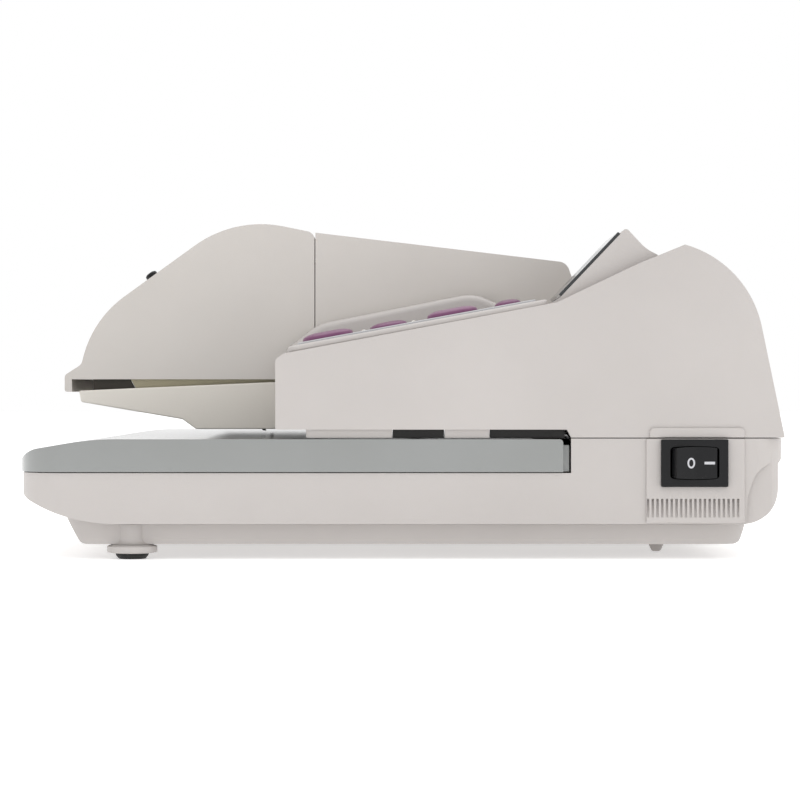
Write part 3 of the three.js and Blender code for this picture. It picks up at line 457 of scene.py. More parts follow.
def vent_grooves():
    """Upright grooves below the switch, deepest at their tops."""
    low, high = 13.4, 19.2
    outside = SIDE_X + PLATE_RAISE
    depth = [(outside - 0.15, low), (outside - 0.4, low + 0.3), (outside - 1.2, high - 0.5),
             (outside - 1.1, high), (outside + 2, high), (outside + 2, low)]
    grooves = []
    for index in range(VENT_COUNT):
        y = VENT_MIDDLE + (index - (VENT_COUNT - 1) / 2) * VENT_PITCH
        grooves.append(prism("groove", depth, y - VENT_WIDTH / 2, y + VENT_WIDTH / 2, "Y"))
    return grooves


def build_pan():
    half = SIDE_X - 5.5
    top = BASE_BOTTOM - GAP
    side = [(-107, 13.75), (-101, SKIRT_BOTTOM, 3), (106.5, SKIRT_BOTTOM, 3), (109, top), (-89, top),
            (-95, 11.25), (-100, 11.95), (-103.5, 12.75)]
    pan = prism("skirt_pan", rounded(side), -half, half)
    combine(pan, [prism("plan", rounded(rectangle(-half, half, -107, 110, 14)), 0, 20, "Z")], "INTERSECT")
    soften(pan, 1.2, 4)
    plan = rounded(rectangle(-half + WALL, half - WALL, -98, 103.5, 12))
    combine(pan, [prism("room", plan, SKIRT_BOTTOM + WALL, top + 1, "Z")])
    flare = [(0, SKIRT_BOTTOM), (6.4, SKIRT_BOTTOM), (5.5, 5), (5, 5.5), (4.75, 6.3), (4.7, top), (0, top)]
    combine(pan, [turned("boss", flare, (sign * FOOT[0], FOOT[1], 0)) for sign in (-1, 1)], "UNION")
    finish_piece(pan, WHITE, "chassis", "white_plastic", "bottom_pan")


FOOT_CUP = ((0, 1.75), (5.4, 1.75), (6.6, 1.85), (7.7, 2.1), (7.9, 2.3), (7.9, 3.9), (7.7, 4.1), (7, 4.3),
            (6.4, 4.62), (0, 4.62))
FOOT_PAD = ((0, 0), (3.9, 0), (4.3, 0.1), (5.1, 1.1), (5.2, 1.4), (5.2, 1.7), (0, 1.7))
REAR_STUD = ((0, 0), (0.9, 0), (1.4, 0.2), (1.8, 0.8), (3.2, 4.1), (3.3, 4.4), (0, 4.4))


def build_feet():
    for side, sign in (("left", -1), ("right", 1)):
        place = (FOOT[0] * sign, FOOT[1], 0)
        foot = turned(f"foot_cup_{side}", FOOT_CUP, place)
        finish_piece(foot, WHITE, "chassis", "white_plastic", f"front_foot_{side}")
        pad = turned(f"foot_rubber_{side}", FOOT_PAD, place)
        finish_piece(pad, RUBBER, "chassis", "black_rubber", f"front_foot_pad_{side}")
        stud = turned(f"foot_stud_{side}", REAR_STUD, (REAR_FOOT[0] * sign, REAR_FOOT[1], 0), steps=40)
        finish_piece(stud, WHITE, "chassis", "white_plastic", f"rear_foot_{side}")


# ------------------------------------------------------------------ tray
def build_tray():
    side = [(-130, TRAY_SEAM + GAP), (TRAY_REAR, TRAY_SEAM + GAP), (TRAY_REAR, TRAY_TOP, 1.2),
            (-97, TRAY_TOP, 90), (-117, 34.4, 10), (-121.6, 30.6, 5), (-124, TRAY_SEAM + 0.5)]
    tray = prism("stacking_tray", rounded(side, 28), -SIDE_X - 0.6, SIDE_X + 0.6)
    combine(tray, [prism("plan", rounded(base_plan(-0.6)), 20, 60, "Z")], "INTERSECT")
    soften(tray, 1.8, 6)
    half = SIDE_X - 1.4
    tongue = block("tongue", -half, half, TRAY_REAR - 2, TRAY_REAR + TONGUE, TRAY_SEAM + GAP, 36)
    combine(tray, [soften(tongue, 0.4, 2)], "UNION")
    room = [(-110, 20), (TRAY_REAR - WALL, 20), (TRAY_REAR - WALL, TRAY_TOP - WALL),
            (-92, TRAY_TOP - WALL, 26), (-110, 32.5, 3)]
    combine(tray, [prism("room", rounded(room), -SIDE_X + 3.2, SIDE_X - 3.2)])
    finish_piece(tray, GREY, "chassis", "grey_plastic", "stacker_tray")


# ------------------------------------------------------------------ control pod
def crest(steps=20):
    """Corners up the round back of the pod, from its rear wall to its peak."""
    turns = [CREST_TO + (CREST_FROM - CREST_TO) * step / steps for step in range(steps + 1)]
    return [(CREST_CENTRE[0] + CREST_RADIUS * math.cos(t), CREST_CENTRE[1] + CREST_RADIUS * math.sin(t))
            for t in turns]


def build_pod():
    left = TOWER_RIGHT + GAP
    bottom = REAR_SEAM + GAP
    back = crest() + [POD_CROWN, POD_BEND, (-36.8, 64.65, 2.4), (POD_FRONT, 62.8, 1.5)]
    side = [(POD_FRONT, POD_BOTTOM, 0.4), (DECK_FRONT - 1.3, POD_BOTTOM, 0.6), (DECK_FRONT, bottom),
            (REAR_Y, bottom, 0.4)] + back
    pod = prism("pod_shell", rounded(side, 16), left, SIDE_X)
    soften(pod, 2.1, 6, tight=lambda p: p.z < POD_BOTTOM + 0.5 or p.x < left + 0.1, tight_width=0.4)
    hump = [(-38.4, 60), (38, 72), (38, 79, 4), (30.5, 82.6, 6), (24, 85.4, 14), (-27.5, 75.2, 14),
            (-38.4, 66.6, 2)]
    ridge = soften(prism("ridge", rounded(hump), left, TOWER_RIGHT + 8), 2.6, 6)
    tab_front, tab_rear, tab_top = PLATE_TAB["front"], SIDE_PLATE["rear"], PLATE_TAB["top"]
    tab = [(tab_front, bottom), (tab_rear, bottom), (tab_rear, tab_top, 1.4), (tab_front, tab_top, 1.4)]
    tab_plate = soften(prism("tab", rounded(tab), SIDE_X - 1, SIDE_X + PLATE_RAISE), 0.35, 3)
    combine(pod, [ridge, tab_plate], "UNION")
    run = ([(POD_FRONT, 20), (REAR_Y + 4, 20)] + crest()
           + [POD_CROWN, POD_BEND, (-36.8, 64.65, 3), (POD_FRONT, 62.8)])
    cavity = prism("cavity", rounded(inset(run, WALL)), left + WALL, SIDE_X - WALL)
    key_window = on_panel(block("key_window", KEYPAD_LEFT + 1, KEYPAD_RIGHT - 2, KEYPAD_FRONT + 0.5,
                                KEYPAD_REAR - 1, -9, 6))
    display_window = block("display_window_cut", 72, 115, 54, 70, 70, 100)
    combine(pod, [cavity, key_window, display_window])
    ribs = [soften(block("rib", SIDE_X - WALL + 0.2, SIDE_X - 1, y0, y1, TRAY_TOP + GAP, 42), 0.25, 2)
            for y0, y1 in ((-29.9, -3), (13.5, 27.5))]
    combine(pod, ribs, "UNION")
    finish_piece(pod, WHITE, "chassis", "white_plastic", "pod_housing")
    build_gap_strips()


def build_gap_strips():
    """Dark felt strips between the ribs, under the pod's side wall."""
    for index, (y0, y1) in enumerate(((-3, 13.5), (27.5, 51.2))):
        strip = soften(block(f"dust_strip_{index + 1}", SIDE_X - 6, SIDE_X - 1.6, y0 + 0.2, y1 - 0.2,
                             TRAY_TOP + GAP, POD_BOTTOM + 1), 0.3, 2)
        finish_piece(strip, RUBBER, "chassis", "black_rubber")


def on_panel(piece):
    """Moves a piece sketched on the flat key panel on to its slope."""
    tilt = Matrix.Rotation(PANEL_SLOPE, 4, "X")
    place = Matrix.Translation(at(0, *PANEL_FOOT)) @ tilt @ Matrix.Translation(-ORIGIN)
    piece.data.transform(place)
    return piece


KEYS = (("key_1", 108, 3.8, 16.4, 11), ("key_2", 86, 25.2, 12.7, 10), ("key_3", 108, 44, 16.4, 11),
        ("key_4", 86, 66.5, 9, 9))
KEY_BOTTOM = -4.2
INDICATORS = ((108, 23.5), (86, 20.2), (108, 39.6))
INDICATOR_PROFILE = ((0, KEY_BOTTOM), (0.8, KEY_BOTTOM), (0.8, 0.8), (0.72, 1.05), (0.45, 1.22), (0, 1.3))


def key_outline(x, start, length, width, grow=0.0, steps=12):
    half = width / 2 + grow
    return rounded(rectangle(x - half, x + half, start - grow, start + length + grow, half - 0.4), steps)


def key_holes():
    holes = [prism("hole", key_outline(*key[1:], 0.4), -6, 4, "Z") for key in KEYS]
    pin_hole = [(0, -5), (1.1, -5), (1.1, 5), (0, 5)]
    return holes + [turned("hole", pin_hole, (x, y, 0), steps=24) for x, y in INDICATORS]


def build_panel():
    plan = rounded(rectangle(TOWER_RIGHT + 9, SIDE_X - 1.2, -0.8, PANEL_LENGTH, 3))
    rim = soften(prism("panel_rim", plan, -2.1, 0, "Z"), 0.8, 5)
    keypad = rectangle(KEYPAD_LEFT, KEYPAD_RIGHT, KEYPAD_FRONT, KEYPAD_REAR, 3)
    pocket = prism("pocket", rounded(keypad), -0.8, 1, "Z")
    combine(rim, [pocket] + key_holes())
    finish_piece(on_panel(rim), WHITE, "chassis", "white_plastic", "panel_frame")
    inner = rectangle(KEYPAD_LEFT + GAP, KEYPAD_RIGHT - GAP, KEYPAD_FRONT + GAP, KEYPAD_REAR - GAP, 2.8)
    sheet = soften(prism("keypad_overlay", rounded(inner), -0.5, 0.7, "Z"), 0.3, 3)
    combine(sheet, key_holes())
    finish_piece(on_panel(sheet), KEYPAD, "chassis", "keypad_grey", "keypad_sheet")
    for name, x, start, length, width in KEYS:
        cap = on_panel(key_cap(name, x, start, length, width))
        finish_piece(cap, PURPLE, name, "key_purple", name)
    for index, (x, y) in enumerate(INDICATORS):
        lens = turned(f"indicator_lens_{index + 1}", INDICATOR_PROFILE, (x, y, 0), steps=24)
        finish_piece(on_panel(lens), LENS, "chassis", "indicator_white", f"indicator_{index + 1}")


def key_cap(name, x, start, length, width):
    """A domed key: rings of its outline, drawn in as they rise to the crown."""
    shoulder, dome = 1.35, 1.55
    rings = [(0, KEY_BOTTOM), (0, 0.9), (0.15, shoulder)]
    crown = [(0.15 + (width / 2 - 0.6) * (1 - math.cos(t)), shoulder + dome * math.sin(t))
             for t in [math.pi / 2 * i / 8 for i in range(1, 9)]]
    shape = bmesh.new()
    middle = Vector((x, start + length / 2))
    previous = None
    for shrink, height in rings + crown:
        scale_x = max(0.02, 1 - shrink / (width / 2))
        scale_y = max(0.02, 1 - shrink / (length / 2))
        ring = []
        for point in key_outline(x, start, length, width):
            offset = point - middle
            corner = at(middle.x + offset.x * scale_x, middle.y + offset.y * scale_y, height)
            ring.append(shape.verts.new(corner))
        if previous is None:
            shape.faces.new(ring)
        else:
            for i in range(len(ring)):
                j = (i + 1) % len(ring)
                shape.faces.new((previous[i], previous[j], ring[j], ring[i]))
        previous = ring
    shape.faces.new(previous)
    bmesh.ops.recalc_face_normals(shape, faces=shape.faces)
    mesh = bpy.data.meshes.new(name + "_cap")
    shape.to_mesh(mesh)
    shape.free()
    return new_object(name + "_cap", mesh)


# ------------------------------------------------------------------ display
def on_slope(up, depth):
    """A point of the display's slope: how far up it, and how deep behind the window's face."""
    along = (WINDOW_HEAD - WINDOW_FOOT).normalized()
    return WINDOW_FOOT + along * up + Vector((along.y, -along.x)) * depth


def slope_band(front, back, trim, radius=0):
    end = (WINDOW_HEAD - WINDOW_FOOT).length - trim
    corners = [(trim, front), (trim, back), (end, back), (end, front)]
    return rounded([(*on_slope(up, depth), radius) for up, depth in corners], 5)


def build_display():
    left, right = HOOD_LEFT, HOOD_RIGHT
    length = (WINDOW_HEAD - WINDOW_FOOT).length
    rise = (POD_CROWN[1] - POD_BEND[1]) / (POD_CROWN[0] - POD_BEND[0])

    def pod_top(y):
        return POD_BEND[1] + rise * (y - POD_BEND[0]) - 0.1

    side = [(49.2, pod_top(49.2)), (74, pod_top(74)), (80.6, pod_top(74) + 2.9), (76.6, 97.6, 12),
            (71, 103.6, 0.8), (70, 103.7, 0.5), tuple(on_slope(length + 0.4, WINDOW_PROUD)),
            tuple(on_slope(-0.8, WINDOW_PROUD))]
    hood = prism("display_shroud", rounded(side, 16), left, right)
    front = on_slope(0, WINDOW_PROUD)
    along = (WINDOW_HEAD - WINDOW_FOOT).normalized()

    def near_window(p):
        away = Vector((p.y, p.z)) - front
        return abs(away.x * along.y - away.y * along.x) < 1.2 or p.z < pod_top(p.y) + 0.4

    soften(hood, 1.8, 5, 30, near_window, 0.35)
    seat = prism("seat", slope_band(-1, 2.1, -0.1), left + 0.9, right - 0.9)
    pocket = prism("pocket", slope_band(1, 7, 5), left + 6, right - 6)
    wireway = block("wireway", 80, 106, 60, 65, 80, 92)
    combine(hood, [seat, pocket, wireway])
    finish_piece(hood, WHITE, "chassis", "white_plastic", "display_hood")
    window = soften(prism("display_lens", slope_band(0, 1.8, 0.2, 0.3), left + 1.2, right - 1.2), 0.4, 3)
    finish_piece(window, SMOKE, "chassis", "smoked_window", "display_window")
    digits = soften(prism("display_glass", slope_band(-0.02, 0.3, 6), left + 12, right - 12), 0.1, 2)
    finish_piece(digits, LCD, "chassis", "smoked_window")


# ------------------------------------------------------------------ note tower and lid
def build_tower():
    right = TOWER_RIGHT - GAP
    bottom = REAR_SEAM + GAP
    front = LID_SEAM + GAP
    back = [(110.2, 83, 16), (58.4, 87.5, 5), (55.4, 96, 4), (front, 106)]
    side = [(front, POD_BOTTOM), (DECK_FRONT - 1.3, POD_BOTTOM), (DECK_FRONT, bottom),
            (REAR_Y, bottom, 0.8)] + back
    tower = prism("tower_shell", rounded(side, 16), TOWER_LEFT, right)
    soften(tower, 1.7, 5, tight=lambda p: p.y < front + 0.1 or p.z < POD_BOTTOM + 0.5)
    run = [(front, 20), (REAR_Y + 4, 20)] + back
    cavity = prism("cavity", rounded(inset(run, WALL)), TOWER_LEFT + WALL, right - WALL)
    mouth = block("mouth", TOWER_LEFT + 4, right - 2.7, LID_SEAM - 2, LID_SEAM + 5, 30, 60)
    combine(tower, [cavity, mouth])
    lugs = []
    eye_profile = [(0, -3), (2.1, -3), (2.3, -2.8), (2.3, 2.8), (2.1, 3), (0, 3)]
    hole_profile = [(0, -5), (PIN_RADIUS + GAP, -5), (PIN_RADIUS + GAP, 5), (0, 5)]
    for x in LUG_X:
        eye = turned("eye", eye_profile, (x, *HINGE), "X", 40)
        arm = block("arm", x - 3, x + 3, HINGE[0], LID_SEAM + 1, HINGE[1] - 4, HINGE[1] + 0.6)
        combine(eye, [arm], "UNION")
        hole = turned("hole", hole_profile, (x, *HINGE), "X", 24)
        lugs.append(combine(eye, [hole]))
    combine(tower, lugs, "UNION")
    finish_piece(tower, TOWER_WHITE_PAINTED_LIGHTER, "chassis", "white_plastic", "tower_housing")


def build_lid():
    right = TOWER_RIGHT - GAP
    side = [(-113, 52.6, 0.8), (-113, 58.2, 1.5), (-107.4, 61.8, 3), *LID_FACE, (LID_SEAM, 106, 2.8),
            (LID_SEAM, LID_BOTTOM), (-110.6, LID_BOTTOM), (-110.6, 52.6)]
    lid = prism("lid_shell", rounded(side, 20), TOWER_LEFT, right)
    soften(lid, 2.2, 6, tight=lambda p: p.y > LID_SEAM - 0.1 or p.z < LID_BOTTOM + 0.1 or p.y < -112)
    run = [(-107.4, 30), (-107.4, 61.8, 3), *LID_FACE, (-10, 102.2), (-10, 30)]
    cavity = prism("cavity", rounded(inset(run, WALL), 16), TOWER_LEFT + WALL, right - WALL)
    combine(lid, [cavity])
    knuckles = []
    for x in KNUCKLE_X:
        ring = turned("ring", [(0, -3.4), (2.7, -3.4), (2.7, 3.4), (0, 3.4)], (x, *HINGE), "X", 40)
        web = block("web", x - 3.4, x + 3.4, HINGE[0] - 3, HINGE[0] - 0.5, HINGE[1], 105.6)
        knuckles.append(combine(ring, [web], "UNION"))
    combine(lid, knuckles, "UNION")
    notches = [block("notch", x - 3.5, x + 3.5, HINGE[0] - 2.8, LID_SEAM + 1, 97, 108) for x in LUG_X]
    bore_profile = [(0, -110), (PIN_RADIUS + GAP, -110), (PIN_RADIUS + GAP, 45), (0, 45)]
    bore = turned("bore", bore_profile, (0, *HINGE), "X", 24)
    combine(lid, [bore] + notches)
    finish_piece(lid, TOWER_WHITE_PAINTED_LIGHTER, "lid", "white_plastic", "front_lid")
    cap = [(0, 0), (1.9, 0), (2.1, 0.2), (2.1, 1.2), (1.9, 1.6), (1.2, 1.95), (0, 2)]
    stud = turned("stud_cap", cap, (0, 0, 0), steps=40)
    slope = math.atan2(LID_FACE[1][1] - LID_FACE[0][1], LID_FACE[1][0] - LID_FACE[0][0])
    seat = Matrix.Translation(at(*STUD_PLACE)) @ Matrix.Rotation(slope, 4, "X")
    stud.data.transform(seat @ Matrix.Translation(-ORIGIN))
    finish_piece(stud, BLACK, "lid", "black_plastic", "lid_stop_stud")


def build_hopper():
    right = TOWER_RIGHT - GAP
    side = [(-108.2, 53, 0.6), (-107.6, 49.2, 1), (-73.5, 43.4, 2), (-69, 40.1, 2), (LID_SEAM, 40.1),
            (LID_SEAM, 56.5)]
    jaw = soften(prism("hopper_shelf", rounded(side, 8), TOWER_LEFT, right), 0.5, 3)
    run = [(-108.2, 53), (-107.6, 49.2), (-73.5, 43.4, 2), (-69, 40.1, 2), (-20, 40.1), (-20, 56.9)]
    cavity = prism("cavity", rounded(inset(run, 1.6)), TOWER_LEFT + WALL, right - WALL)
    slots = []
    for x in ROLLER_X:
        slots.append(block("slot", x - 8.5, x + 8.5, PICK[0] - 6.5, PICK[0] + 6.5, 50, 60))
        slots.append(block("slot", x - 4.2, x + 4.2, STACKER[0] - 8.5, STACKER[0] + 8.5, 35, 45))
    combine(jaw, [cavity] + slots)
    finish_piece(jaw, INNER_WHITE_PAINTED_LIGHTER, "chassis", "white_plastic", "hopper_floor")
    top = 58.8
    front = [(-104, 52.2), (-89.4, 53), (-92.6, top, 1), (-104, top, 2)]
    rear = [(-89.2, 53), (LID_SEAM - 2, 55.5), (LID_SEAM - 2, top, 1), (-92.4, top, 1)]
    for index, x in enumerate((TOWER_LEFT + 5, right - 7)):
        # The front half of each fence is painted dark as painted shade under the lid's lip; the rear half
        # is satin beige.
        shaded_fence_front = soften(prism(f"fence_front_{index + 1}", rounded(front, 6), x, x + 2), 0.25, 2)
        finish_piece(shaded_fence_front, PAINTED_SHADE_BROWN, "chassis", "black_plastic")
        fence = soften(prism(f"fence_rear_{index + 1}", rounded(rear, 6), x, x + 2), 0.25, 2)
        finish_piece(fence, FENCE, "chassis", "white_plastic")


# ------------------------------------------------------------------ rocker switch
def barrel(half_length, half_height, bulge, radius, steps=10):
    """Outline with slightly bowed long sides and round corners, about the switch's middle."""
    def bow(y):
        return half_height + bulge * (1 - (y / half_length) ** 2)

    along = [half_length * (2 * i / steps - 1) for i in range(1, steps)]
    upper = [(y, bow(y)) for y in reversed(along)]
    lower = [(y, -bow(y)) for y in along]
    corners = ([(-half_length, -half_height, radius)] + lower + [(half_length, -half_height, radius),
               (half_length, half_height, radius)] + upper + [(-half_length, half_height, radius)])
    return rounded(corners, 6)


def build_switch():
    outside = SIDE_X + PLATE_RAISE
    along, up = SWITCH_RIM
    face = rounded(rectangle(SWITCH_Y - along, SWITCH_Y + along, SWITCH_Z - up, SWITCH_Z + up - 0.1, 0.5))
    bezel = soften(prism("switch_rim", face, outside + 0.02, outside + 1.7), 0.35, 4)
    along, up = SWITCH_BODY
    body = block("body", SIDE_X - 14, outside + 0.6, SWITCH_Y - along, SWITCH_Y + along,
                 SWITCH_Z - up, SWITCH_Z + up)
    combine(bezel, [body], "UNION")
    sides = barrel(ROCKER_RADIUS + 0.35, ROCKER_HALF + 0.25, 0.45, 1.1)
    well = [(SWITCH_Y + y, SWITCH_Z + z) for y, z in sides]
    combine(bezel, [prism("well", well, outside - 7.5, outside + 4)])
    finish_piece(bezel, BLACK, "chassis", "black_plastic", "switch_bezel")
    build_rocker(outside - 0.6)


def build_rocker(pivot_x):
    """The paddle is sketched level about its pivot, then laid with its rear half in."""
    rise = math.tan(ROCKER_TILT)
    radius, crown = ROCKER_RADIUS, ROCKER_CROWN
    reach = (math.sqrt(radius ** 2 * (1 + rise ** 2) - crown ** 2) - crown * rise) / (1 + rise ** 2)
    tip = math.atan2(reach, crown + reach * rise)
    tail = math.pi - math.acos(3 / radius)
    steps = 16
    turns = [tip + (tail - tip) * step / steps for step in range(steps + 1)]
    upper = [(radius * math.cos(t), radius * math.sin(t)) for t in turns]
    outline = [(crown, 0, 5)] + upper + [(x, -y) for x, y in reversed(upper)]
    paddle = prism("rocker_paddle", rounded(outline, 14), -6, 6, "Z")
    sides = prism("sides", barrel(radius + 0.1, ROCKER_HALF, 0.45, 0.9), -5, 9)
    combine(paddle, [sides], "INTERSECT")
    soften(paddle, 0.35, 4)
    sunk, proud = -0.1, 0.06
    bar = soften(block("mark_bar", sunk, proud, 2.6, 5.9, -0.42, 0.42), 0.05, 2)
    ring = oval_ring("mark_ring", 1.3, 1.65, 0.55, sunk, proud)
    seat = Matrix.Translation(at(pivot_x, SWITCH_Y, SWITCH_Z)) @ Matrix.Rotation(ROCKER_TILT, 4, "Z")
    back = Matrix.Translation(-ORIGIN)
    lift = Matrix.Translation(Vector((crown, 0, 0)) * MM)
    slide = Matrix.Translation(Vector((0, -1.7, 0)) * MM)
    raise_up = Matrix.Translation(ORIGIN) @ lift
    bar.data.transform(raise_up @ Matrix.Rotation(-ROCKER_TILT, 4, "Z") @ back)
    ring.data.transform(raise_up @ Matrix.Rotation(ROCKER_TILT, 4, "Z") @ slide @ back)
    for piece in (paddle, bar, ring):
        piece.data.transform(seat @ back)
    finish_piece(paddle, BLACK, "rocker", "black_plastic", "rocker")
    finish_piece(bar, WHITE_INK, "rocker", "indicator_white")
    finish_piece(ring, WHITE_INK, "rocker", "indicator_white")


def oval_ring(name, half_y, half_z, stroke, x0, x1, steps=48):
    turns = [2 * math.pi * i / steps for i in range(steps)]
    outer = [(half_y * math.cos(t), half_z * math.sin(t)) for t in turns]
    inner = [((half_y - stroke) * math.cos(t), (half_z - stroke) * math.sin(t)) for t in turns]
    return combine(prism(name, outer, x0, x1), [prism("hole", inner, x0 - 1, x1 + 1)])


# ------------------------------------------------------------------ drive
def mirrored(half_profile):
    return half_profile + [(radius, -along) for radius, along in reversed(half_profile)]


def bored(piece, x, axis, half):
    reach = half + 2
    hole = turned("bore", mirrored([(0, -reach), (SHAFT_RADIUS + GAP, -reach)]), (x, *axis), "X", 48)
    return combine(piece, [hole])


def build_roller(node, body, x, axis, radius, width):
    """Rubber tyre with dished sides and two grip grooves."""
    half = width / 2
    groove = width / 6
    left = [(0, -half), (3.4, -half), (3.7, 0.9 - half), (radius - 2.2, 0.9 - half), (radius - 2, -half),
            (radius - 0.6, -half), (radius, 0.6 - half), (radius, -groove - 0.6),
            (radius - 0.5, -groove - 0.3), (radius - 0.5, 0.3 - groove), (radius, 0.6 - groove)]
    tyre = bored(turned(node + "_tyre", mirrored(left), (x, *axis), "X", 96), x, axis, half)
    finish_piece(tyre, RUBBER, body, "black_rubber", node)


def shaft_profile(x0, x1):
    """Ground bar with chamfered ends and a clip groove near each."""
    def end(x, inward):
        groove = SHAFT_RADIUS - 0.35
        chamfered = x + 0.3 * inward
        near, far = x + 1.1 * inward, x + 1.6 * inward
        return [(0, x), (SHAFT_RADIUS - 0.3, x), (SHAFT_RADIUS, chamfered), (SHAFT_RADIUS, near),
                (groove, near), (groove, far), (SHAFT_RADIUS, far)]
    return end(x0, 1) + end(x1, -1)[::-1]


def build_shaft(node, body, axis, x0, x1):
    bar = turned(node + "_bar", shaft_profile(x0, x1), (0, *axis), "X", 48)
    finish_piece(bar, STEEL, body, "steel", node)


def pulley_wheel(name, x, axis, radius, width, grooves=1):
    """Flanged wheel; each groove narrows to its floor."""
    half = width / 2
    profile = [(0, -half)]
    for edge in range(grooves + 1):
        middle = edge * width / grooves - half
        low = max(-half, middle - 0.35)
        high = min(half, middle + 0.35)
        if edge > 0:
            profile.append((radius - 1, low - 0.3))
        profile += [(radius - 0.1, low), (radius, low + 0.12), (radius, high - 0.12), (radius - 0.1, high)]
        if edge < grooves:
            profile.append((radius - 1, high + 0.3))
    return turned(name, profile + [(0, half)], (x, *axis), "X", 72)


def build_pulley(node, body, x, axis, radius, width, grooves=1):
    wheel = bored(pulley_wheel(node + "_wheel", x, axis, radius, width, grooves), x, axis, width / 2)
    finish_piece(wheel, ACETAL, body, "pulley_plastic", node)


def build_drive():
    build_shaft("feed_shaft", "feed_roll", FEED, FRAME_LEFT - 6, LINK_X + 3.2)
    build_shaft("pick_shaft", "pick_roll", PICK, FRAME_LEFT - 1.5, LINK_X + 6.4)
    build_shaft("stacker_shaft", "stacker", STACKER, FRAME_LEFT - 1.5, LINK_X + 6.4)
    build_shaft("retard_shaft", "retard_roll", RETARD, FRAME_LEFT - 1.5, FRAME_RIGHT + 3)
    for side, x in zip(("left", "right"), ROLLER_X):
        build_roller(f"feed_roller_{side}", "feed_roll", x, FEED, *FEED_ROLLER)
        build_roller(f"pick_roller_{side}", "pick_roll", x, PICK, *PICK_ROLLER)
        build_roller(f"retard_roller_{side}", "retard_roll", x, RETARD, *RETARD_ROLLER)
    build_pulley("feed_pulley", "feed_roll", PULLEY_X, FEED, *DRIVE_PULLEY)
    build_pulley("link_pulley", "feed_roll", LINK_X + 1.6, FEED, *LINK_PULLEY)
    build_pulley("stacker_pulley", "stacker", LINK_X + 3.2, STACKER, LINK_PULLEY[0], 6.2, 2)
    build_pulley("pick_pulley", "pick_roll", LINK_X + 4.8, PICK, *LINK_PULLEY)
    build_motor()


def build_motor():
    can = [(0, 0), (15.2, 0), (16, 0.8), (16, 27), (15.6, 27.4), (15.6, 28.2), (16, 28.6), (16, 41.2),
           (15.2, 42), (6, 42), (6, 43.4), (5.4, 44), (0, 44)]
    body = turned("motor_can", can, (MOTOR_X, *MOTOR), "X", 96)
    hole = turned("hole", [(0, -1), (2.3, -1), (2.3, 12), (0, 12)], (MOTOR_X, *MOTOR), "X", 48)
    combine(body, [hole])
    finish_piece(body, ZINC, "chassis", "zinc_plate", "motor")
    wheel = pulley_wheel("motor_wheel", PULLEY_X, MOTOR, *DRIVE_PULLEY)
    spindle = turned("spindle", shaft_profile(PULLEY_X - 3, MOTOR_X + 11), (0, *MOTOR), "X", 48)
    finish_piece(combine(wheel, [spindle], "UNION"), STEEL, "motor_rotor", "steel", "motor_pulley")


# ------------------------------------------------------------------ electrical pieces
def build_transformer():
    """Stacked core with a taped winding through it."""
    left, right, front, rear, top = -12, 16, 75, 93, 41
    core = soften(block("laminated_core", left, right, front, rear, BASE_BOTTOM + 3, top), 0.5, 2)
    grooves = [block("lamination", left - 1, right + 1, y - 0.12, y + 0.12, top - 0.3, top + 1)
               for y in range(front + 2, rear, 2)]
    winding = soften(block("winding", -7.5, 11.5, 70, 98, 19, 36.2), 2.2, 4)
    window = block("window", -8, 12, 74, 94, 18.6, 36.6)
    combine(core, grooves + [window])
    finish_piece(core, ZINC, "chassis", "zinc_plate", "transformer")
    finish_piece(winding, TAPE, "chassis", "zinc_plate")


def build_sensor_bar():
    bar = soften(block("sensor_housing", FRAME_LEFT + 6, FRAME_RIGHT - 5, 20.5, 27, 44.5, 52), 0.6, 3)
    lenses = [turned("lens_hole", [(0, 51.2), (1.4, 51.2), (1.8, 52.4), (0, 52.4)], (x, 23.7, 0), steps=32)
              for x in range(-98, 40, 22)]
    finish_piece(combine(bar, lenses), BLACK, "chassis", "black_plastic", "sensor_bar")


def build_inlet():
    """Two-pin appliance inlet: flange, body, recess and its pins."""
    x, z = INLET_X, INLET_Z
    plan = rounded(rectangle(x - 11, x + 11, z - 6.2, z + 6.2, 3))
    flange = soften(prism("inlet_flange", plan, 118.5, 120, "Y"), 0.4, 3)
    body = block("inlet_body", x - 8.9, x + 8.9, 101, 119, z - 4.8, z + 4.8)
    combine(flange, [body], "UNION")
    recess = prism("recess", rounded(rectangle(x - 7.4, x + 7.4, z - 3.9, z + 3.9, 3.8)), 106, 125, "Y")
    combine(flange, [recess])
    blade = [(0, 105), (1.2, 105), (1.2, 115.6), (0.9, 116.1), (0, 116.1)]
    pins = [turned("pin", blade, (x + along, 0, z), "Y", 32) for along in (-3.6, 3.6)]
    combine(flange, pins, "UNION")
    finish_piece(flange, BLACK, "chassis", "black_plastic", "power_inlet")


BOARD_TOP = 18.6
PART_BOTTOM = BOARD_TOP + 0.05
CAPACITOR = ((0, PART_BOTTOM), (3.6, PART_BOTTOM), (4, 19), (4, 19.7), (3.8, 19.9), (4, 20.1), (4, 25.2),
             (3.6, 25.6), (0, 25.6))


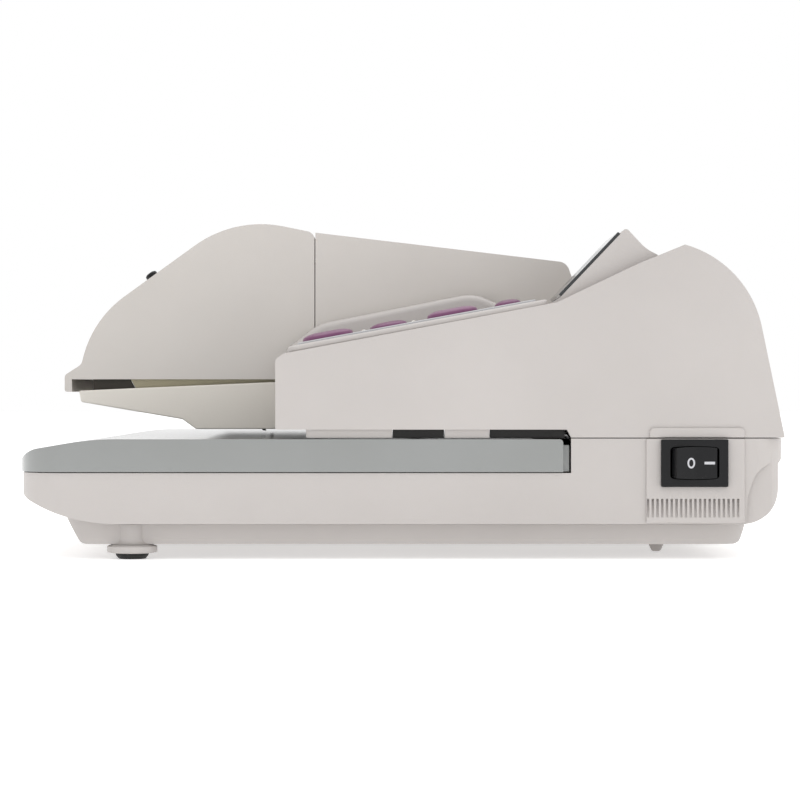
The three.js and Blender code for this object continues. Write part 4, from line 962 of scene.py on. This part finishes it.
def build_main_board():
    """Board with its chips and capacitors, which are the Blender model's own."""
    half, front, rear, margin = 70, -70, 30, 5
    board = soften(block("logic_board", -half, half, front, rear, BOARD_TOP - 1.6, BOARD_TOP), 0.2, 2)
    holes = [turned("hole", [(0, 16), (1.6, 16), (1.6, 20), (0, 20)], (x, y, 0), steps=24)
             for x in (margin - half, half - margin) for y in (front + margin, rear - margin)]
    finish_piece(combine(board, holes), BOARD, "chassis", "board_green", "main_board")
    chips = ((-40, -30, 14, 14), (5, -10, 20, 10), (40, -45, 10, 6), (40, 5, 16, 8))
    for index, (x, y, width, depth) in enumerate(chips):
        chip = soften(block(f"chip_{index + 1}", x, x + width, y, y + depth, PART_BOTTOM, 20.6), 0.25, 2)
        finish_piece(chip, BLACK, "chassis", "black_plastic")
    for index, (x, y) in enumerate(((-58, 10), (-48, 10), (-58, -2))):
        can = turned(f"capacitor_{index + 1}", CAPACITOR, (x, y, 0), steps=40)
        finish_piece(can, ZINC, "chassis", "zinc_plate")


# ------------------------------------------------------------------ screws
def build_screw(name, x, y, z, axis, outward):
    """Pan-head screw with a cross slot, its head standing out of a wall along the axis."""
    def along(distance):
        return distance * outward

    centre = Vector((x, y, z))
    shank, head_radius = 1.3, 2.7
    profile = [(0, along(-1.2)), (shank, along(-1.2)), (shank, along(0.05)), (head_radius, along(0.05)),
               (head_radius, along(0.45)), (2.4, along(0.75)), (1.6, along(0.95)), (0, along(1))]
    head = turned(name, profile, centre, axis, 40)
    out = Vector((0, outward, 0)) if axis == "Y" else Vector((0, 0, outward))
    side = Vector((1, 0, 0))
    other = out.cross(side)
    slots = []
    for long_way, short_way in ((side, other), (other, side)):
        reach = long_way * 1.6 + short_way * 0.28
        low = centre + out * 0.45 - reach
        high = centre + out * 1.4 + reach
        spans = [sorted(pair) for pair in zip(low, high)]
        slots.append(block("cross_slot", *spans[0], *spans[1], *spans[2]))
    finish_piece(combine(head, slots), STEEL, "chassis", "steel")


def build_screws():
    wall_y, height = 118.2, 24
    for index, x in enumerate((-108, -20, 30)):
        build_screw(f"rear_screw_{index + 1}", x, wall_y, height, "Y", 1)
    pan_places = ((-96, -60), (96, -60), (-96, 92), (96, 92))
    for index, (x, y) in enumerate(pan_places):
        build_screw(f"pan_screw_{index + 1}", x, y, SKIRT_BOTTOM, "Z", -1)


# ------------------------------------------------------------------ CAD pieces that stay
def dress(nodes, material):
    """Gives carried-over CAD nodes their finish."""
    for name in nodes:
        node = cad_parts[name]
        node.data.materials.clear()
        node.data.materials.append(material)


def dress_mechanism():
    dress(["lid_hinge_pin", "note_guide", "transfer_plate", "tie_bar_1"], STEEL)
    dress(["frame_plate_left", "frame_plate_right"], ZINC)
    dress(["drive_belt", "stacker_belt", "pick_belt"], RUBBER)
    dress(["stacker_wheel_left", "stacker_wheel_right"], BLACK)
    dress(["key_board", "display_board"], BOARD)


# ------------------------------------------------------------------ floor, light and camera
def build_stage():
    material = surface("studio_floor", "f2f2f2", "f6f6f6", 0.8, grain=40, bump=0.02, patch=0.6)
    shader = material.node_tree.nodes["Principled BSDF"]
    shader.inputs["Emission Color"].default_value = (1, 1, 1, 1)
    shader.inputs["Emission Strength"].default_value = 0.4
    bpy.ops.mesh.primitive_plane_add(size=12, location=(0, 0, 0))
    floor = bpy.context.object
    floor.name = "studio_floor"
    floor.data.materials.append(material)


def area_light(name, location, target, size, power):
    data = bpy.data.lights.new(name, "AREA")
    data.shape = "RECTANGLE"
    data.size, data.size_y = size
    data.energy = power
    light = bpy.data.objects.new(name, data)
    bpy.context.scene.collection.objects.link(light)
    light.location = location
    light.rotation_euler = (Vector(target) - Vector(location)).to_track_quat("-Z", "Y").to_euler()
    return light


def light_scene():
    world = bpy.data.worlds.new("studio")
    bpy.context.scene.world = world
    world.use_nodes = True
    background = world.node_tree.nodes["Background"]
    background.inputs["Color"].default_value = (1, 1, 1, 1)
    background.inputs["Strength"].default_value = 1.0
    middle = (0, 0, 0.05)
    area_light("key_softbox", (0.9, -0.5, 1.1), middle, (1.0, 1.0), 1.2)
    area_light("top_softbox", (-0.2, 0.1, 1.4), middle, (1.4, 1.4), 8)
    area_light("rear_softbox", (0.8, 1.1, 0.7), middle, (0.8, 0.8), 2)


def place_camera():
    """Half-way up the body, square on to the operator's right side, about 0.9 m from its wall."""
    data = bpy.data.cameras.new("photo_camera")
    camera = bpy.data.objects.new("photo_camera", data)
    bpy.context.scene.collection.objects.link(camera)
    distance = 890
    height = 52.8
    units_per_mm = 3.2
    image_width = 800
    data.sensor_width = 36
    data.lens = distance * units_per_mm / image_width * data.sensor_width
    data.shift_y = -0.011
    data.clip_start = 0.05
    data.clip_end = 30
    camera.location = at(SIDE_X + distance, -0.5, height)
    camera.rotation_euler = (math.radians(90), 0, math.radians(90))
    bpy.context.scene.camera = camera
    bpy.context.scene.view_settings.view_transform = "Standard"


place_camera()
build_base()
build_pan()
build_feet()
build_tray()
build_pod()
build_panel()
build_display()
build_tower()
build_lid()
build_hopper()
build_switch()
build_drive()
build_transformer()
build_sensor_bar()
build_inlet()
build_main_board()
build_screws()
dress_mechanism()
build_stage()
light_scene()
